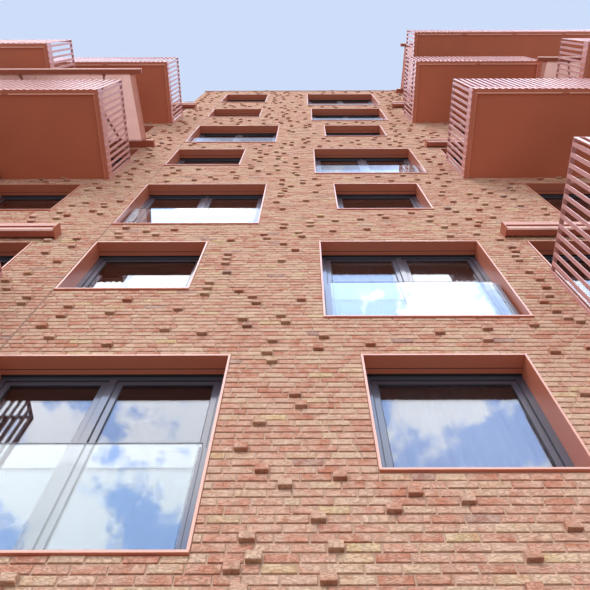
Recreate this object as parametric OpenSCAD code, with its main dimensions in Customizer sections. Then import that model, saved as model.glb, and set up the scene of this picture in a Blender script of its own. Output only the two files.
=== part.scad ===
// Brick apartment block: a ground storey, seven upper storeys and a terrace over the left wing.
// Millimetres. X runs along the street front, Y runs into the block, Z is up.
// The origin is on the ground at the middle of the plan, so the street front is at -block_d / 2.

/* [Block] */
// Width of the street front
block_w = 18700; // [18500:50:20000]
// Depth from street front to back
block_d = 12000; // [9000:100:14000]
// Thickness of the outer walls: brick leaf, insulation and inner leaf
wall_t = 360; // [330:10:450]
// Thickness of the concrete floors
slab_t = 250; // [200:10:300]
// Thickness of the slab on the ground
ground_slab_t = 150; // [100:10:250]

/* [Storeys] */
// Ground storey, ground to first floor
ground_h = 4200; // [4000:50:4800]
// Upper storeys, floor to floor
storey_h = 3000; // [2900:10:3300]
// Top storey, floor to the top of its brickwork
top_storey_h = 3840; // [3700:20:4200]
// Brickwork above the roof slab
roof_parapet_h = 350; // [200:10:600]
// Brickwork round the terrace on the left wing
terrace_parapet_h = 920; // [800:20:1000]
// Width of the left wing that stops one storey lower
terrace_w = 5690; // [5400:10:5750]
// Height of the metal coping on the brickwork
coping_h = 40; // [20:5:60]
// How far the coping stands out past the brick
coping_out = 25; // [10:5:40]
// How far the coping's edges hang down past the top of the brick
coping_lip_h = 45; // [30:5:80]
// Thickness of those edges
coping_lip_t = 4; // [2:1:6]

/* [Windows] */
// Width of the French windows
french_w = 2100; // [1900:10:2200]
// Width of the small windows
small_w = 1480; // [1300:10:1480]
// Width of the balcony doors
door_w = 2760; // [2400:20:2760]
// Width of the French window in the top storey
top_french_w = 2300; // [2100:20:2400]
// Height of a French window's bottom above the floor
french_sill = 60; // [40:5:120]
// Height of a small window's bottom above the floor
small_sill = 760; // [600:10:1000]
// Height of the window heads above the floor
window_head = 2330; // [2200:10:2400]
// Height of the top storey's window heads above the floor
top_window_head = 2850; // [2500:10:2900]
// Depth from the brick face to the window frame
reveal_d = 200; // [150:5:250]
// Thickness of the metal lining round an opening
lining_t = 20; // [12:1:30]
// How far the lining stands out past the brick
lining_out = 15; // [8:1:25]
// How far the sill stands out past the brick
sill_out = 30; // [26:1:45]
// Depth of the window frames, front to back
frame_d = 70; // [60:2:76]
// Face width of the fixed frame
frame_face = 65; // [50:1:75]
// Face width of the sash inside it
sash_face = 60; // [45:1:70]
// How far the sash lies behind the fixed frame
sash_step = 12; // [8:1:20]
// Thickness of the double glazing
pane_t = 24; // [18:1:28]
// Top of the glass balustrade above the floor
balustrade_h = 1210; // [1100:10:1300]
// Thickness of the glass balustrade
balustrade_t = 17; // [12:1:22]
// Distance from the brick face back to the glass balustrade
balustrade_in = 93; // [70:1:110]
// Width of the posts that hold the ends of a glass balustrade
post_w = 62; // [50:1:75]
// Gap between the lining and a post
post_gap = 26; // [15:1:35]
// Thickness of the cover that holds the glass in a post
post_cover_t = 8; // [6:1:12]

/* [Balconies] */
// Width of every balcony apart from the top one
balcony_w = 3200; // [3000:20:3400]
// Width of the top balcony
top_balcony_w = 5900; // [5000:50:6000]
// How far the even storeys' balconies stand out
even_out = 1560; // [1300:20:1700]
// How far the odd storeys' balconies stand out
odd_out = 2150; // [1900:20:2300]
// Depth of the steel channel round a balcony
balcony_t = 250; // [200:10:300]
// Balcony top below the room floor
balcony_drop = 50; // [20:5:60]
// Width of the channel's lower flange
flange_w = 85; // [60:5:110]
// Depth of the recess over the flange
recess_h = 40; // [25:5:60]
// Thickness of the soffit panel in the recess
soffit_t = 18; // [10:1:24]
// Top of the handrail above the room floor
rail_h = 1230; // [1100:10:1300]
// Face width of a railing bar
bar_w = 46; // [25:1:60]
// Thickness of a railing bar
bar_t = 12; // [8:1:15]
// Spacing of the railing bars
bar_pitch = 110; // [95:1:120]
// Width of the flat handrail
handrail_w = 50; // [40:1:70]
// Thickness of the flat handrail
handrail_t = 12; // [8:1:20]

/* [Awnings] */
// Length of an awning cassette
cassette_l = 3240; // [3000:20:3300]
// How far a cassette stands out
cassette_d = 165; // [130:5:190]
// Height of a closed cassette
cassette_h = 240; // [200:5:250]
// Height of an awning's front bar, which closes the cassette from below
front_bar_h = 90; // [70:5:100]
// Depth of the front bar
front_bar_d = 100; // [70:5:120]
// Gap from the top of a cassette to the balcony over it
cassette_clear = 15; // [10:1:40]
// How far an open awning stands out
awning_out = 1700; // [1500:20:1800]
// How far an open awning's front is below its back
awning_drop = 400; // [300:10:450]
// Width of the awning cloth
cloth_w = 2980; // [2600:20:3000]
// Thickness of the awning cloth with its coating
cloth_t = 6; // [4:1:10]
// Thickness of the caps on the ends of a cassette and of an open front bar
cap_t = 10; // [6:1:16]
// How far an end cap stands out past the section that it closes
cap_edge = 4; // [2:1:8]
// Width of an awning's upper arm
arm_w = 36; // [28:1:45]
// Height of an awning's upper arm
arm_h = 50; // [40:1:60]
// Width of an awning's forearm
forearm_w = 30; // [24:1:36]
// Thickness of the fork plates at an arm's joints
fork_t = 8; // [6:1:10]

/* [Curtains] */
// Distance from the wall's inner face to a curtain
curtain_in = 60; // [40:5:100]
// Depth of a curtain's folds
curtain_d = 50; // [30:5:80]

/* [Hidden] */

last_storey = 7;
cut = 1;

// Heights
function floor_z(n) = n == 0 ? ground_slab_t : ground_h + (n - 1) * storey_h;
function pattern_z(n) = ground_h + (n - 1) * storey_h;
terrace_z = floor_z(last_storey);
brick_top_z = terrace_z + top_storey_h;
roof_z = brick_top_z - roof_parapet_h;
function is_even(n) = n % 2 == 0;
function head_of(n) = n == last_storey ? top_window_head : window_head;

// Plan lines
left_x = -block_w / 2;
right_x = block_w / 2;
front_y = -block_d / 2;
back_y = block_d / 2;
setback_x = left_x + terrace_w;

// Places along the street front: left jambs of the two middle columns, and balcony corners
left_column_x = -2765;
right_column_x = 183;
even_left_balcony_end_x = -3540;
even_right_balcony_x = 2870;
odd_left_balcony_end_x = -5420;
odd_right_balcony_x = 5970;
top_balcony_x = 3270;
door_inset = 60;
odd_left_door_inset = 330;
top_door_inset = 260;
inner_left_end_x = -3900;
inner_right_x = 3825;
outer_left_x = -8600;
outer_right_x = 7200;

// Columns of the back
back_columns = 5;
back_pitch = 3600;

// An opening is [left jamb, width, bottom, top, kind]
function opening(n, x, w, sill, kind) =
    [x, w, pattern_z(n) + sill, pattern_z(n) + head_of(n), kind];
function small_at(n, x) = opening(n, x, small_w, small_sill, "small");
function tall_at(n, x) = opening(n, x, small_w, french_sill, "tall");
function french_at(n, x) = opening(n, x, french_w, french_sill, "french");
function door_at(n, x) = opening(n, x, door_w, french_sill, n == 0 ? "wide" : "door");
entrance = [even_right_balcony_x + door_inset, door_w, ground_slab_t,
            pattern_z(0) + window_head, "entrance"];

function even_openings(n) = [
    small_at(n, outer_left_x),
    door_at(n, even_left_balcony_end_x - door_inset - door_w),
    small_at(n, left_column_x),
    french_at(n, right_column_x),
    n == 0 ? entrance : door_at(n, even_right_balcony_x + door_inset),
    small_at(n, outer_right_x)
];
function odd_openings(n) = [
    door_at(n, odd_left_balcony_end_x - odd_left_door_inset - door_w),
    small_at(n, inner_left_end_x - small_w),
    french_at(n, left_column_x),
    small_at(n, right_column_x + (french_w - small_w) / 2),
    tall_at(n, inner_right_x),
    door_at(n, odd_right_balcony_x + door_inset)
];
function top_openings(n) = [
    small_at(n, left_column_x),
    opening(n, right_column_x + (french_w - top_french_w) / 2, top_french_w, french_sill, "french"),
    door_at(n, top_balcony_x + top_door_inset),
    small_at(n, outer_right_x)
];
function front_openings(n) =
    n == last_storey ? top_openings(n) : is_even(n) ? even_openings(n) : odd_openings(n);
function back_openings(n) = [
    for (c = [0 : back_columns - 1])
        let (x = (c - (back_columns - 1) / 2) * back_pitch)
            if (n < last_storey || x - french_w / 2 > setback_x + wall_t)
                is_even(n + c) ? french_at(n, x - french_w / 2) : small_at(n, x - small_w / 2)
];
terrace_opening = opening(last_storey, -french_w / 2, french_w, french_sill, "terrace");

all_front = [for (n = [0 : last_storey]) each front_openings(n)];
all_back = [for (n = [0 : last_storey]) each back_openings(n)];

// A balcony is [left end, width, how far out, storey]
function even_balconies(n) = [
    [even_left_balcony_end_x - balcony_w, balcony_w, even_out, n],
    [even_right_balcony_x, balcony_w, even_out, n]
];
function odd_balconies(n) = [
    [odd_left_balcony_end_x - balcony_w, balcony_w, odd_out, n],
    [odd_right_balcony_x, balcony_w, odd_out, n]
];
balconies = [
    for (n = [1 : last_storey - 1]) each (is_even(n) ? even_balconies(n) : odd_balconies(n)),
    [top_balcony_x, top_balcony_w, odd_out, last_storey]
];
function balcony_top(b) = floor_z(b[3]) - balcony_drop;

// An awning hangs over each balcony door: [middle of the door, height of the door's head, open]
doors = [
    for (n = [1 : last_storey])
        for (o = front_openings(n))
            if (o[4] == "door") [o[0] + o[1] / 2, o[3], is_awning_open(n, o[0])]
];
function is_awning_open(n, x) =
    (n == 4 && x < 0) || (n == 5 && x > 0) || n == last_storey;
open_awnings = [for (d = doors) if (d[2]) d];

// Puts what is drawn with the brick face on y = 0 on each outer wall
module on_front() {
    translate([0, front_y, 0]) children();
}
module on_back() {
    translate([0, back_y, 0]) mirror([0, 1, 0]) children();
}
module on_setback() {
    translate([setback_x, 0, 0]) rotate([0, 0, -90]) children();
}

// A length of outer wall with its openings cut through
module wall_panel(x0, x1, z0, z1, openings) {
    color("#c98f74")
        difference() {
            translate([x0, 0, z0]) cube([x1 - x0, wall_t, z1 - z0]);
            for (o = openings)
                translate([o[0], -cut, o[2]]) cube([o[1], wall_t + 2 * cut, o[3] - o[2]]);
        }
}
function storey_bottom(n) = n == 0 ? 0 : floor_z(n);
function storey_top(n) = n == last_storey ? brick_top_z : floor_z(n + 1);
function storey_left(n) = n == last_storey ? setback_x : left_x;

module front_wall(n) {
    on_front() wall_panel(storey_left(n), right_x, storey_bottom(n), storey_top(n), front_openings(n));
}

// Two storeys of the back wall, one panel on the other
module back_wall(n) {
    on_back() {
        wall_panel(left_x, right_x, storey_bottom(n), storey_top(n), back_openings(n));
        wall_panel(storey_left(n + 1), right_x, storey_bottom(n + 1), storey_top(n + 1),
                   back_openings(n + 1));
    }
}

module party_wall(x, top) {
    color("#c08a70")
        translate([x, front_y + wall_t, 0]) cube([wall_t, block_d - 2 * wall_t, top]);
}
module left_party_wall() {
    party_wall(left_x, terrace_z);
}
module right_party_wall() {
    party_wall(right_x - wall_t, brick_top_z);
}

// The top storey's side wall, with the door to the terrace
module setback_wall() {
    inner_y = block_d / 2 - wall_t;
    on_setback() wall_panel(-inner_y, inner_y, terrace_z, brick_top_z, [terrace_opening]);
}

// Low brick wall on three sides of the terrace
module terrace_parapet() {
    color("#c98f74")
        translate([0, 0, terrace_z])
            difference() {
                translate([left_x, front_y, 0]) cube([terrace_w, block_d, terrace_parapet_h]);
                translate([left_x + wall_t, front_y + wall_t, -cut])
                    cube([terrace_w, block_d - 2 * wall_t, terrace_parapet_h + 2 * cut]);
            }
}

// Plan of a coping, which stands out past the brickwork on both of its sides
module coping_plan(x0, x1, inner_x1, out) {
    difference() {
        translate([x0 - out, front_y - out]) square([x1 - x0 + 2 * out, block_d + 2 * out]);
        translate([x0 + wall_t + out, front_y + wall_t + out])
            square([inner_x1 - x0 - 2 * wall_t - 2 * out, block_d - 2 * wall_t - 2 * out]);
    }
}
// Bent metal cap on the brickwork, with an edge that hangs down on each side
module coping_ring(x0, x1, z, inner_x1) {
    translate([0, 0, z]) {
        linear_extrude(coping_h) coping_plan(x0, x1, inner_x1, coping_out);
        translate([0, 0, -coping_lip_h])
            linear_extrude(coping_lip_h)
                difference() {
                    coping_plan(x0, x1, inner_x1, coping_out);
                    coping_plan(x0, x1, inner_x1, coping_out - coping_lip_t);
                }
    }
}
module copings() {
    color("#8d7468") {
        coping_ring(setback_x, right_x, brick_top_z, right_x);
        intersection() {
            coping_ring(left_x, setback_x, terrace_z + terrace_parapet_h, setback_x + 3 * wall_t);
            translate([left_x - block_w, -block_d, 0])
                cube([block_w + terrace_w, 2 * block_d, brick_top_z]);
        }
    }
}

// Concrete floors between the outer walls
module slab(x0, x1, top, thickness) {
    color("#c9c6c0")
        translate([x0 + wall_t, front_y + wall_t, top - thickness])
            cube([x1 - x0 - 2 * wall_t, block_d - 2 * wall_t, thickness]);
}
module ground_slab() {
    slab(left_x, right_x, ground_slab_t, ground_slab_t);
}
module floor_slab(n) {
    slab(left_x, right_x, floor_z(n), slab_t);
}
module roof_slab() {
    slab(setback_x, right_x, roof_z, slab_t);
}

// Clear width and height inside the lining
function clear_x(o) = o[0] + lining_t;
function clear_w(o) = o[1] - 2 * lining_t;
function clear_z(o) = o[2] + lining_t;
function clear_h(o) = o[3] - o[2] - 2 * lining_t;

// Folded metal lining from the brick face to behind the frame, with a sill that stands out further
module lining(o) {
    back = reveal_d + frame_d;
    difference() {
        union() {
            translate([o[0], -lining_out, o[2]]) cube([o[1], back + lining_out, o[3] - o[2]]);
            translate([o[0], -sill_out, o[2]]) cube([o[1], sill_out, lining_t]);
        }
        translate([clear_x(o), -sill_out - cut, clear_z(o)])
            cube([clear_w(o), back + sill_out + 2 * cut, clear_h(o)]);
    }
}
module front_linings() {
    color("#c98d80") {
        on_front() for (o = all_front) lining(o);
        on_setback() lining(terrace_opening);
    }
}
module back_linings() {
    color("#c98d80") on_back() for (o = all_back) lining(o);
}

// How many lights a kind of window has side by side
function lights(kind) =
    kind == "small" || kind == "tall" ? 1 : kind == "french" || kind == "terrace" ? 2 : 3;
function light_w(o) = (clear_w(o) - (lights(o[4]) + 1) * frame_face) / lights(o[4]);
function light_x(o, i) = clear_x(o) + frame_face + i * (light_w(o) + frame_face);

// Fixed frame with a sash stepped back in each light
module window_frame(o) {
    difference() {
        translate([clear_x(o), reveal_d, clear_z(o)]) cube([clear_w(o), frame_d, clear_h(o)]);
        for (i = [0 : lights(o[4]) - 1])
            translate([light_x(o, i), reveal_d, clear_z(o) + frame_face]) {
                h = clear_h(o) - 2 * frame_face;
                translate([0, -cut, 0]) cube([light_w(o), sash_step + cut, h]);
                translate([sash_face, -cut, sash_face])
                    cube([light_w(o) - 2 * sash_face, frame_d + 2 * cut, h - 2 * sash_face]);
            }
    }
}
module front_frames() {
    color("#5b5d63") {
        on_front() for (o = all_front) if (o[4] != "entrance") window_frame(o);
        on_setback() window_frame(terrace_opening);
    }
}
module back_frames() {
    color("#5b5d63") on_back() for (o = all_back) window_frame(o);
}

// Double glazing in the sashes
module panes(o) {
    for (i = [0 : lights(o[4]) - 1])
        translate([light_x(o, i) + sash_face, reveal_d + (frame_d - pane_t) / 2,
                   clear_z(o) + frame_face + sash_face])
            cube([light_w(o) - 2 * sash_face, pane_t, clear_h(o) - 2 * frame_face - 2 * sash_face]);
}
module front_glass() {
    color("#a9c4dc", 0.5) {
        on_front() {
            for (o = all_front) if (o[4] != "entrance") panes(o);
            entrance_panes();
        }
        on_setback() panes(terrace_opening);
    }
}
module back_glass() {
    color("#a9c4dc", 0.5) on_back() for (o = all_back) panes(o);
}

// Sheet of glass across the lower half of a French window, with its ends in the grooves of two posts
post_cover_w = 24;
groove_d = 14;
groove_play = 1;
post_short = 60;
function balustrade_top(o) = o[2] - french_sill + balustrade_h;
module balustrade(o) {
    end = post_gap + post_w - groove_d + groove_play;
    translate([clear_x(o) + end, balustrade_in, clear_z(o)])
        cube([clear_w(o) - 2 * end, balustrade_t, balustrade_top(o) - clear_z(o)]);
}
// Plan of the left post, which stands on the sill before the frame: x from the lining, y into the wall
module post_section() {
    inner = post_gap + post_w;
    groove_front = balustrade_in - groove_play;
    groove_back = balustrade_in + balustrade_t + groove_play;
    polygon([
        [post_gap, balustrade_in], [inner - post_cover_w, balustrade_in],
        [inner - post_cover_w, balustrade_in - post_cover_t], [inner, balustrade_in - post_cover_t],
        [inner, groove_front], [inner - groove_d, groove_front],
        [inner - groove_d, groove_back], [inner, groove_back],
        [inner, reveal_d], [post_gap, reveal_d]
    ]);
}
module posts(o) {
    h = balustrade_top(o) - post_short - clear_z(o);
    translate([clear_x(o), 0, clear_z(o)]) linear_extrude(h) post_section();
    translate([clear_x(o) + clear_w(o), 0, clear_z(o)])
        mirror([1, 0, 0]) linear_extrude(h) post_section();
}
function has_balustrade(o) = o[4] == "french" || o[4] == "wide" || o[4] == "tall";
module glass_balustrades() {
    color("#c8dbe6", 0.5) {
        on_front() for (o = all_front) if (has_balustrade(o)) balustrade(o);
        on_back() for (o = all_back) if (has_balustrade(o)) balustrade(o);
    }
}
module balustrade_posts() {
    color("#6d6f76") {
        on_front() for (o = all_front) if (has_balustrade(o)) posts(o);
        on_back() for (o = all_back) if (has_balustrade(o)) posts(o);
    }
}

// Entrance: a pair of glazed doors beside a fixed light, under a row of top lights
door_leaf_h = 2250;
transom_h = 90;
leaf_face = 95;
entrance_parts = 3;
entrance_part_w = (clear_w(entrance) - (entrance_parts + 1) * frame_face) / entrance_parts;
function entrance_part_x(i) = clear_x(entrance) + frame_face + i * (entrance_part_w + frame_face);
toplight_z = clear_z(entrance) + door_leaf_h + transom_h;
toplight_h = clear_z(entrance) + clear_h(entrance) - frame_face - toplight_z;
handle_h = 1200;
handle_r = 16;
handle_z = clear_z(entrance) + 500;
handle_out = 60;

module entrance_panes() {
    y = reveal_d + (frame_d - pane_t) / 2;
    for (i = [0 : entrance_parts - 1]) {
        translate([entrance_part_x(i) + leaf_face, y, clear_z(entrance) + leaf_face])
            cube([entrance_part_w - 2 * leaf_face, pane_t, door_leaf_h - 2 * leaf_face]);
        translate([entrance_part_x(i), y, toplight_z]) cube([entrance_part_w, pane_t, toplight_h]);
    }
}
module entrance_handle(x) {
    translate([x, reveal_d - handle_out, handle_z]) cylinder(r = handle_r, h = handle_h, $fn = 24);
    for (z = [handle_z + handle_h / 8, handle_z + handle_h * 7 / 8])
        translate([x, reveal_d - handle_out, z])
            rotate([-90, 0, 0]) cylinder(r = handle_r / 2, h = handle_out + sash_step, $fn = 24);
}
module entrance_door() {
    color("#5b5d63")
        on_front() {
            difference() {
                translate([clear_x(entrance), reveal_d, clear_z(entrance)])
                    cube([clear_w(entrance), frame_d, clear_h(entrance)]);
                for (i = [0 : entrance_parts - 1]) {
                    translate([entrance_part_x(i), reveal_d - cut, clear_z(entrance)])
                        translate([0, 0, sash_step])
                            cube([entrance_part_w, sash_step + cut, door_leaf_h - sash_step]);
                    translate([entrance_part_x(i) + leaf_face, reveal_d - cut,
                               clear_z(entrance) + leaf_face])
                        cube([entrance_part_w - 2 * leaf_face, frame_d + 2 * cut,
                              door_leaf_h - 2 * leaf_face]);
                    translate([entrance_part_x(i), reveal_d - cut, toplight_z])
                        cube([entrance_part_w, frame_d + 2 * cut, toplight_h]);
                }
            }
            entrance_handle(entrance_part_x(1) - frame_face - leaf_face / 2);
            entrance_handle(entrance_part_x(1) + leaf_face / 2);
        }
}

// Sheer curtains that hang from the ceiling inside two of the windows
curtain_openings = [front_openings(1)[3], front_openings(2)[3]];
curtain_side = 100;
curtain_floor_gap = 30;
module curtains() {
    color("#f2f0ec")
        on_front()
            for (n = [1, 2]) {
                o = curtain_openings[n - 1];
                translate([o[0] - curtain_side, wall_t + curtain_in, floor_z(n) + curtain_floor_gap])
                    cube([o[1] + 2 * curtain_side, curtain_d, storey_h - slab_t - curtain_floor_gap]);
            }
}

// Balcony: a steel channel all round a deck, recessed underneath
module balcony_channel(b) {
    translate([b[0], -b[2], balcony_top(b) - balcony_t])
        difference() {
            cube([b[1], b[2], balcony_t]);
            translate([flange_w, flange_w, -cut])
                cube([b[1] - 2 * flange_w, b[2] - flange_w + cut, recess_h + cut]);
        }
}
module balcony_channels() {
    color("#b0604a") on_front() for (b = balconies) balcony_channel(b);
}

// Flat panel up in the recess
module balcony_soffits() {
    color("#8a4b38")
        on_front()
            for (b = balconies)
                translate([b[0] + flange_w, -b[2] + flange_w,
                           balcony_top(b) - balcony_t + recess_h - soffit_t])
                    cube([b[1] - 2 * flange_w, b[2] - flange_w, soffit_t]);
}

// Railing: flat bars on the outside of the channel, with a flat handrail on top
function rail_top(b) = floor_z(b[3]) + rail_h;
function bar_h(b) = rail_top(b) - handrail_t - balcony_top(b) + balcony_t;
function bar_count(run) = floor((run - bar_w) / bar_pitch) + 1;
function bar_step(run) = (run - bar_w) / (bar_count(run) - 1);

module bars(run, h) {
    for (i = [0 : bar_count(run) - 1]) translate([i * bar_step(run), 0, 0]) cube([bar_w, bar_t, h]);
}
module railing_front(b) {
    run = b[1] + 2 * bar_t;
    translate([b[0] - bar_t, -b[2] - bar_t, balcony_top(b) - balcony_t]) {
        bars(run, bar_h(b));
        translate([0, 0, bar_h(b)]) cube([run, handrail_w, handrail_t]);
    }
}
module railing_end(b) {
    first = handrail_w - bar_t;
    run = b[2] - first;
    translate([-bar_t, -b[2] + first, balcony_top(b) - balcony_t]) {
        translate([bar_t, 0, 0]) rotate([0, 0, 90]) bars(run, bar_h(b));
        translate([0, 0, bar_h(b)]) cube([handrail_w, run, handrail_t]);
    }
}
module railing_fronts() {
    color("#d09a92") on_front() for (b = balconies) railing_front(b);
}
module railing_ends() {
    color("#d09a92")
        on_front()
            for (b = balconies) {
                translate([b[0], 0, 0]) railing_end(b);
                translate([b[0] + b[1], 0, 0]) mirror([1, 0, 0]) railing_end(b);
            }
}

// Awning: a cassette over each balcony door, closed from below by the front bar when it is shut
cassette_slot_h = 14;
cassette_slot_d = 20;
cassette_nose = 18;
cassette_body_h = cassette_h - front_bar_h;
head_to_balcony = storey_h - window_head - balcony_drop - balcony_t;
function cassette_z(d) = d[1] + head_to_balcony - cassette_clear - cassette_h;

// Section of the cassette's body, with y out of the wall and z up
module cassette_section() {
    polygon([
        [0, 0], [cassette_d - cassette_slot_d, 0],
        [cassette_d - cassette_slot_d, cassette_slot_h], [cassette_d, cassette_slot_h],
        [cassette_d, cassette_body_h - cassette_nose],
        [cassette_d - cassette_nose, cassette_body_h], [0, cassette_body_h]
    ]);
}
module front_bar_section() {
    polygon([
        [0, 0], [front_bar_d - cassette_nose, 0], [front_bar_d, cassette_nose],
        [front_bar_d, front_bar_h], [0, front_bar_h]
    ]);
}
// End cap of a cassette, which also covers the end of the front bar of a shut awning
module cassette_cap_section(is_open) {
    bottom = (is_open ? 0 : -front_bar_h) - cap_edge;
    front = cassette_d + cap_edge;
    top = cassette_body_h + cap_edge;
    polygon([
        [0, bottom], [front - cassette_nose, bottom], [front, bottom + cassette_nose],
        [front, top - cassette_nose], [front - cassette_nose, top], [0, top]
    ]);
}
module front_bar_cap_section() {
    front = front_bar_d + cap_edge;
    polygon([
        [0, -cap_edge], [front - cassette_nose, -cap_edge], [front, cassette_nose - cap_edge],
        [front, front_bar_h + cap_edge], [0, front_bar_h + cap_edge]
    ]);
}
// Runs a section along X, with its y turned outwards
module along_front(length) {
    translate([length / 2, 0, 0]) rotate([90, 0, -90]) linear_extrude(length) children();
}
// Puts a cap on both ends of such a run
module on_both_ends(length) {
    for (side = [-1, 1]) translate([side * (length + cap_t) / 2, 0, 0]) along_front(cap_t) children();
}
module awning_cassettes() {
    color("#b9776a")
        on_front()
            for (d = doors)
                translate([d[0], 0, cassette_z(d) + front_bar_h]) {
                    along_front(cassette_l) cassette_section();
                    on_both_ends(cassette_l) cassette_cap_section(d[2]);
                }
}
bar_seat = cassette_d - cassette_slot_d - front_bar_d;
module awning_front_bars() {
    color("#9c5b4b")
        on_front()
            for (d = doors)
                if (d[2])
                    translate([d[0], -cloth_front_out, front_z(d) - front_bar_h / 2]) {
                        along_front(cassette_l) front_bar_section();
                        on_both_ends(cassette_l) front_bar_cap_section();
                    }
                else
                    translate([d[0], -bar_seat, cassette_z(d)])
                        along_front(cassette_l) front_bar_section();
}

// Open cloth, from the cassette's slot to the front bar
function back_z(d) = cassette_z(d) + front_bar_h;
function front_z(d) = back_z(d) - awning_drop;
cloth_back_out = cassette_d - cassette_slot_d + cloth_t;
cloth_front_out = awning_out - front_bar_d;
module awning_cloths() {
    color("#d8aaa4")
        on_front()
            for (d = open_awnings)
                translate([d[0], 0, 0])
                    along_front(cloth_w)
                        polygon([
                            [cloth_back_out, back_z(d)], [cloth_front_out, front_z(d)],
                            [cloth_front_out, front_z(d) + cloth_t],
                            [cloth_back_out, back_z(d) + cloth_t]
                        ]);
}

// Folding arms under an open cloth, each with its elbow turned towards the middle. They lie in planes
// along the cloth: there x runs along the front, y up to the cassette and z away from the cloth.
arm_shoulder = [930, -44];
arm_elbow = [640, -800];
arm_hand_x = 860;
arm_hand_in = 36;
arm_below = 14;
joint_gap = 1;
elbow_r = 30;
boss_r = 23;
pin_r = 9;
pin_head_r = 14;
pin_head_t = 6;
fork_back = 12;
hand_plate_t = 8;
hand_plate_z = 10;
cloth_angle = atan(awning_drop / (cloth_front_out - cloth_back_out));
cloth_run = (cloth_front_out - cloth_back_out) / cos(cloth_angle);
arm_hand = [arm_hand_x, arm_hand_in - cloth_run];

// Heights below the cloth: of the upper arm, and of the forearm that turns in its fork
arm_top = -arm_below;
arm_bottom = -arm_below - arm_h;
forearm_top = arm_top - fork_t;
forearm_bottom = arm_bottom + fork_t;

module in_cloth_plane(d) {
    translate([0, -cloth_back_out, back_z(d)]) rotate([cloth_angle, 0, 0]) children();
}
module between(bottom, top) {
    translate([0, 0, bottom]) linear_extrude(top - bottom) children();
}
module disc(place, r) {
    translate(place) circle(r = r, $fn = 32);
}
// Flat bar with a round end at each of its two pins
module link(p, q, w, end_r) {
    run = q - p;
    disc(p, end_r);
    disc(q, end_r);
    translate(p) rotate(atan2(run[1], run[0])) translate([0, -w / 2]) square([norm(run), w]);
}
module pin(place, bottom, top) {
    between(bottom, top) disc(place, pin_r);
    between(bottom - pin_head_t, bottom) disc(place, pin_head_r);
}
// Two plates over and under what turns between them, which end in a block or plate behind
module fork(place, r, end_y, bottom, top) {
    y0 = min(place[1], end_y);
    for (z = [bottom - joint_gap - fork_t, top + joint_gap])
        between(z, z + fork_t) {
            disc(place, r);
            translate([place[0] - r, y0]) square([2 * r, max(place[1], end_y) - y0]);
        }
}
module upper_arm() {
    difference() {
        between(arm_bottom, arm_top) link(arm_shoulder, arm_elbow, arm_w, elbow_r);
        between(forearm_bottom - joint_gap, forearm_top + joint_gap) disc(arm_elbow, elbow_r + fork_t);
    }
    pin(arm_elbow, arm_bottom, arm_top);
}
// Bracket under the cassette, which carries the shoulder
module shoulder_bracket(d) {
    h = arm_below + arm_h + 2 * fork_t;
    translate([arm_shoulder[0] - elbow_r, -cassette_d + cassette_slot_d, back_z(d) - h])
        cube([2 * elbow_r, cassette_d - cassette_slot_d, h]);
    in_cloth_plane(d) {
        fork(arm_shoulder, elbow_r, fork_back, arm_bottom, arm_top);
        pin(arm_shoulder, arm_bottom - joint_gap - fork_t, arm_top + joint_gap + fork_t);
    }
}
// Bracket on the back of the front bar, which holds the hand
module hand_bracket(d) {
    h = arm_below + arm_h + fork_t;
    translate([arm_hand_x - elbow_r, -cloth_front_out, front_z(d) - hand_plate_z - h])
        cube([2 * elbow_r, hand_plate_t, h]);
    difference() {
        in_cloth_plane(d) {
            fork(arm_hand, boss_r, -cloth_run - elbow_r, forearm_bottom, forearm_top);
            pin(arm_hand, forearm_bottom - joint_gap - fork_t, forearm_top + joint_gap + fork_t);
        }
        translate([0, -cloth_front_out - awning_out, front_z(d) - awning_out])
            cube([awning_out, awning_out, 2 * awning_out]);
    }
}
module arm(d) {
    shoulder_bracket(d);
    in_cloth_plane(d) {
        upper_arm();
        between(forearm_bottom, forearm_top) link(arm_elbow, arm_hand, forearm_w, boss_r);
    }
    hand_bracket(d);
}
module awning_arms() {
    color("#a8665a")
        on_front()
            for (d = open_awnings)
                translate([d[0], 0, 0]) {
                    arm(d);
                    mirror([1, 0, 0]) arm(d);
                }
}

ground_slab();
floor_slab(1);  // floor_slab_1
floor_slab(2);  // floor_slab_2
floor_slab(3);  // floor_slab_3
floor_slab(4);  // floor_slab_4
floor_slab(5);  // floor_slab_5
floor_slab(6);  // floor_slab_6
floor_slab(7);  // floor_slab_7
roof_slab();
front_wall(0);  // front_wall_0
front_wall(1);  // front_wall_1
front_wall(2);  // front_wall_2
front_wall(3);  // front_wall_3
front_wall(4);  // front_wall_4
front_wall(5);  // front_wall_5
front_wall(6);  // front_wall_6
front_wall(7);  // front_wall_7
back_wall(0);  // back_wall_0_1
back_wall(2);  // back_wall_2_3
back_wall(4);  // back_wall_4_5
back_wall(6);  // back_wall_6_7
left_party_wall();
right_party_wall();
setback_wall();
terrace_parapet();
copings();
front_linings();
back_linings();
front_frames();
back_frames();
front_glass();
back_glass();
glass_balustrades();
balustrade_posts();
entrance_door();
curtains();
balcony_channels();
balcony_soffits();
railing_fronts();
railing_ends();
awning_cassettes();
awning_cloths();
awning_arms();
awning_front_bars();
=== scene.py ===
# %% [markdown]
# # A brick apartment block with salmon-coloured balconies
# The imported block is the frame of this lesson: its walls, openings, balconies and awnings are already
# at their real size, in metres, with X along the street front, Y into the block and Z up. Blender adds
# what is too fine for the solids, such as each brick, and gives every surface its finish. All places
# are measured from the frame, so nothing has to be fitted afterwards.

# %% Load the frame
import bisect
import math
import random
from collections import namedtuple

import bmesh
import bpy
from mathutils import Matrix, Vector


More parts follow.
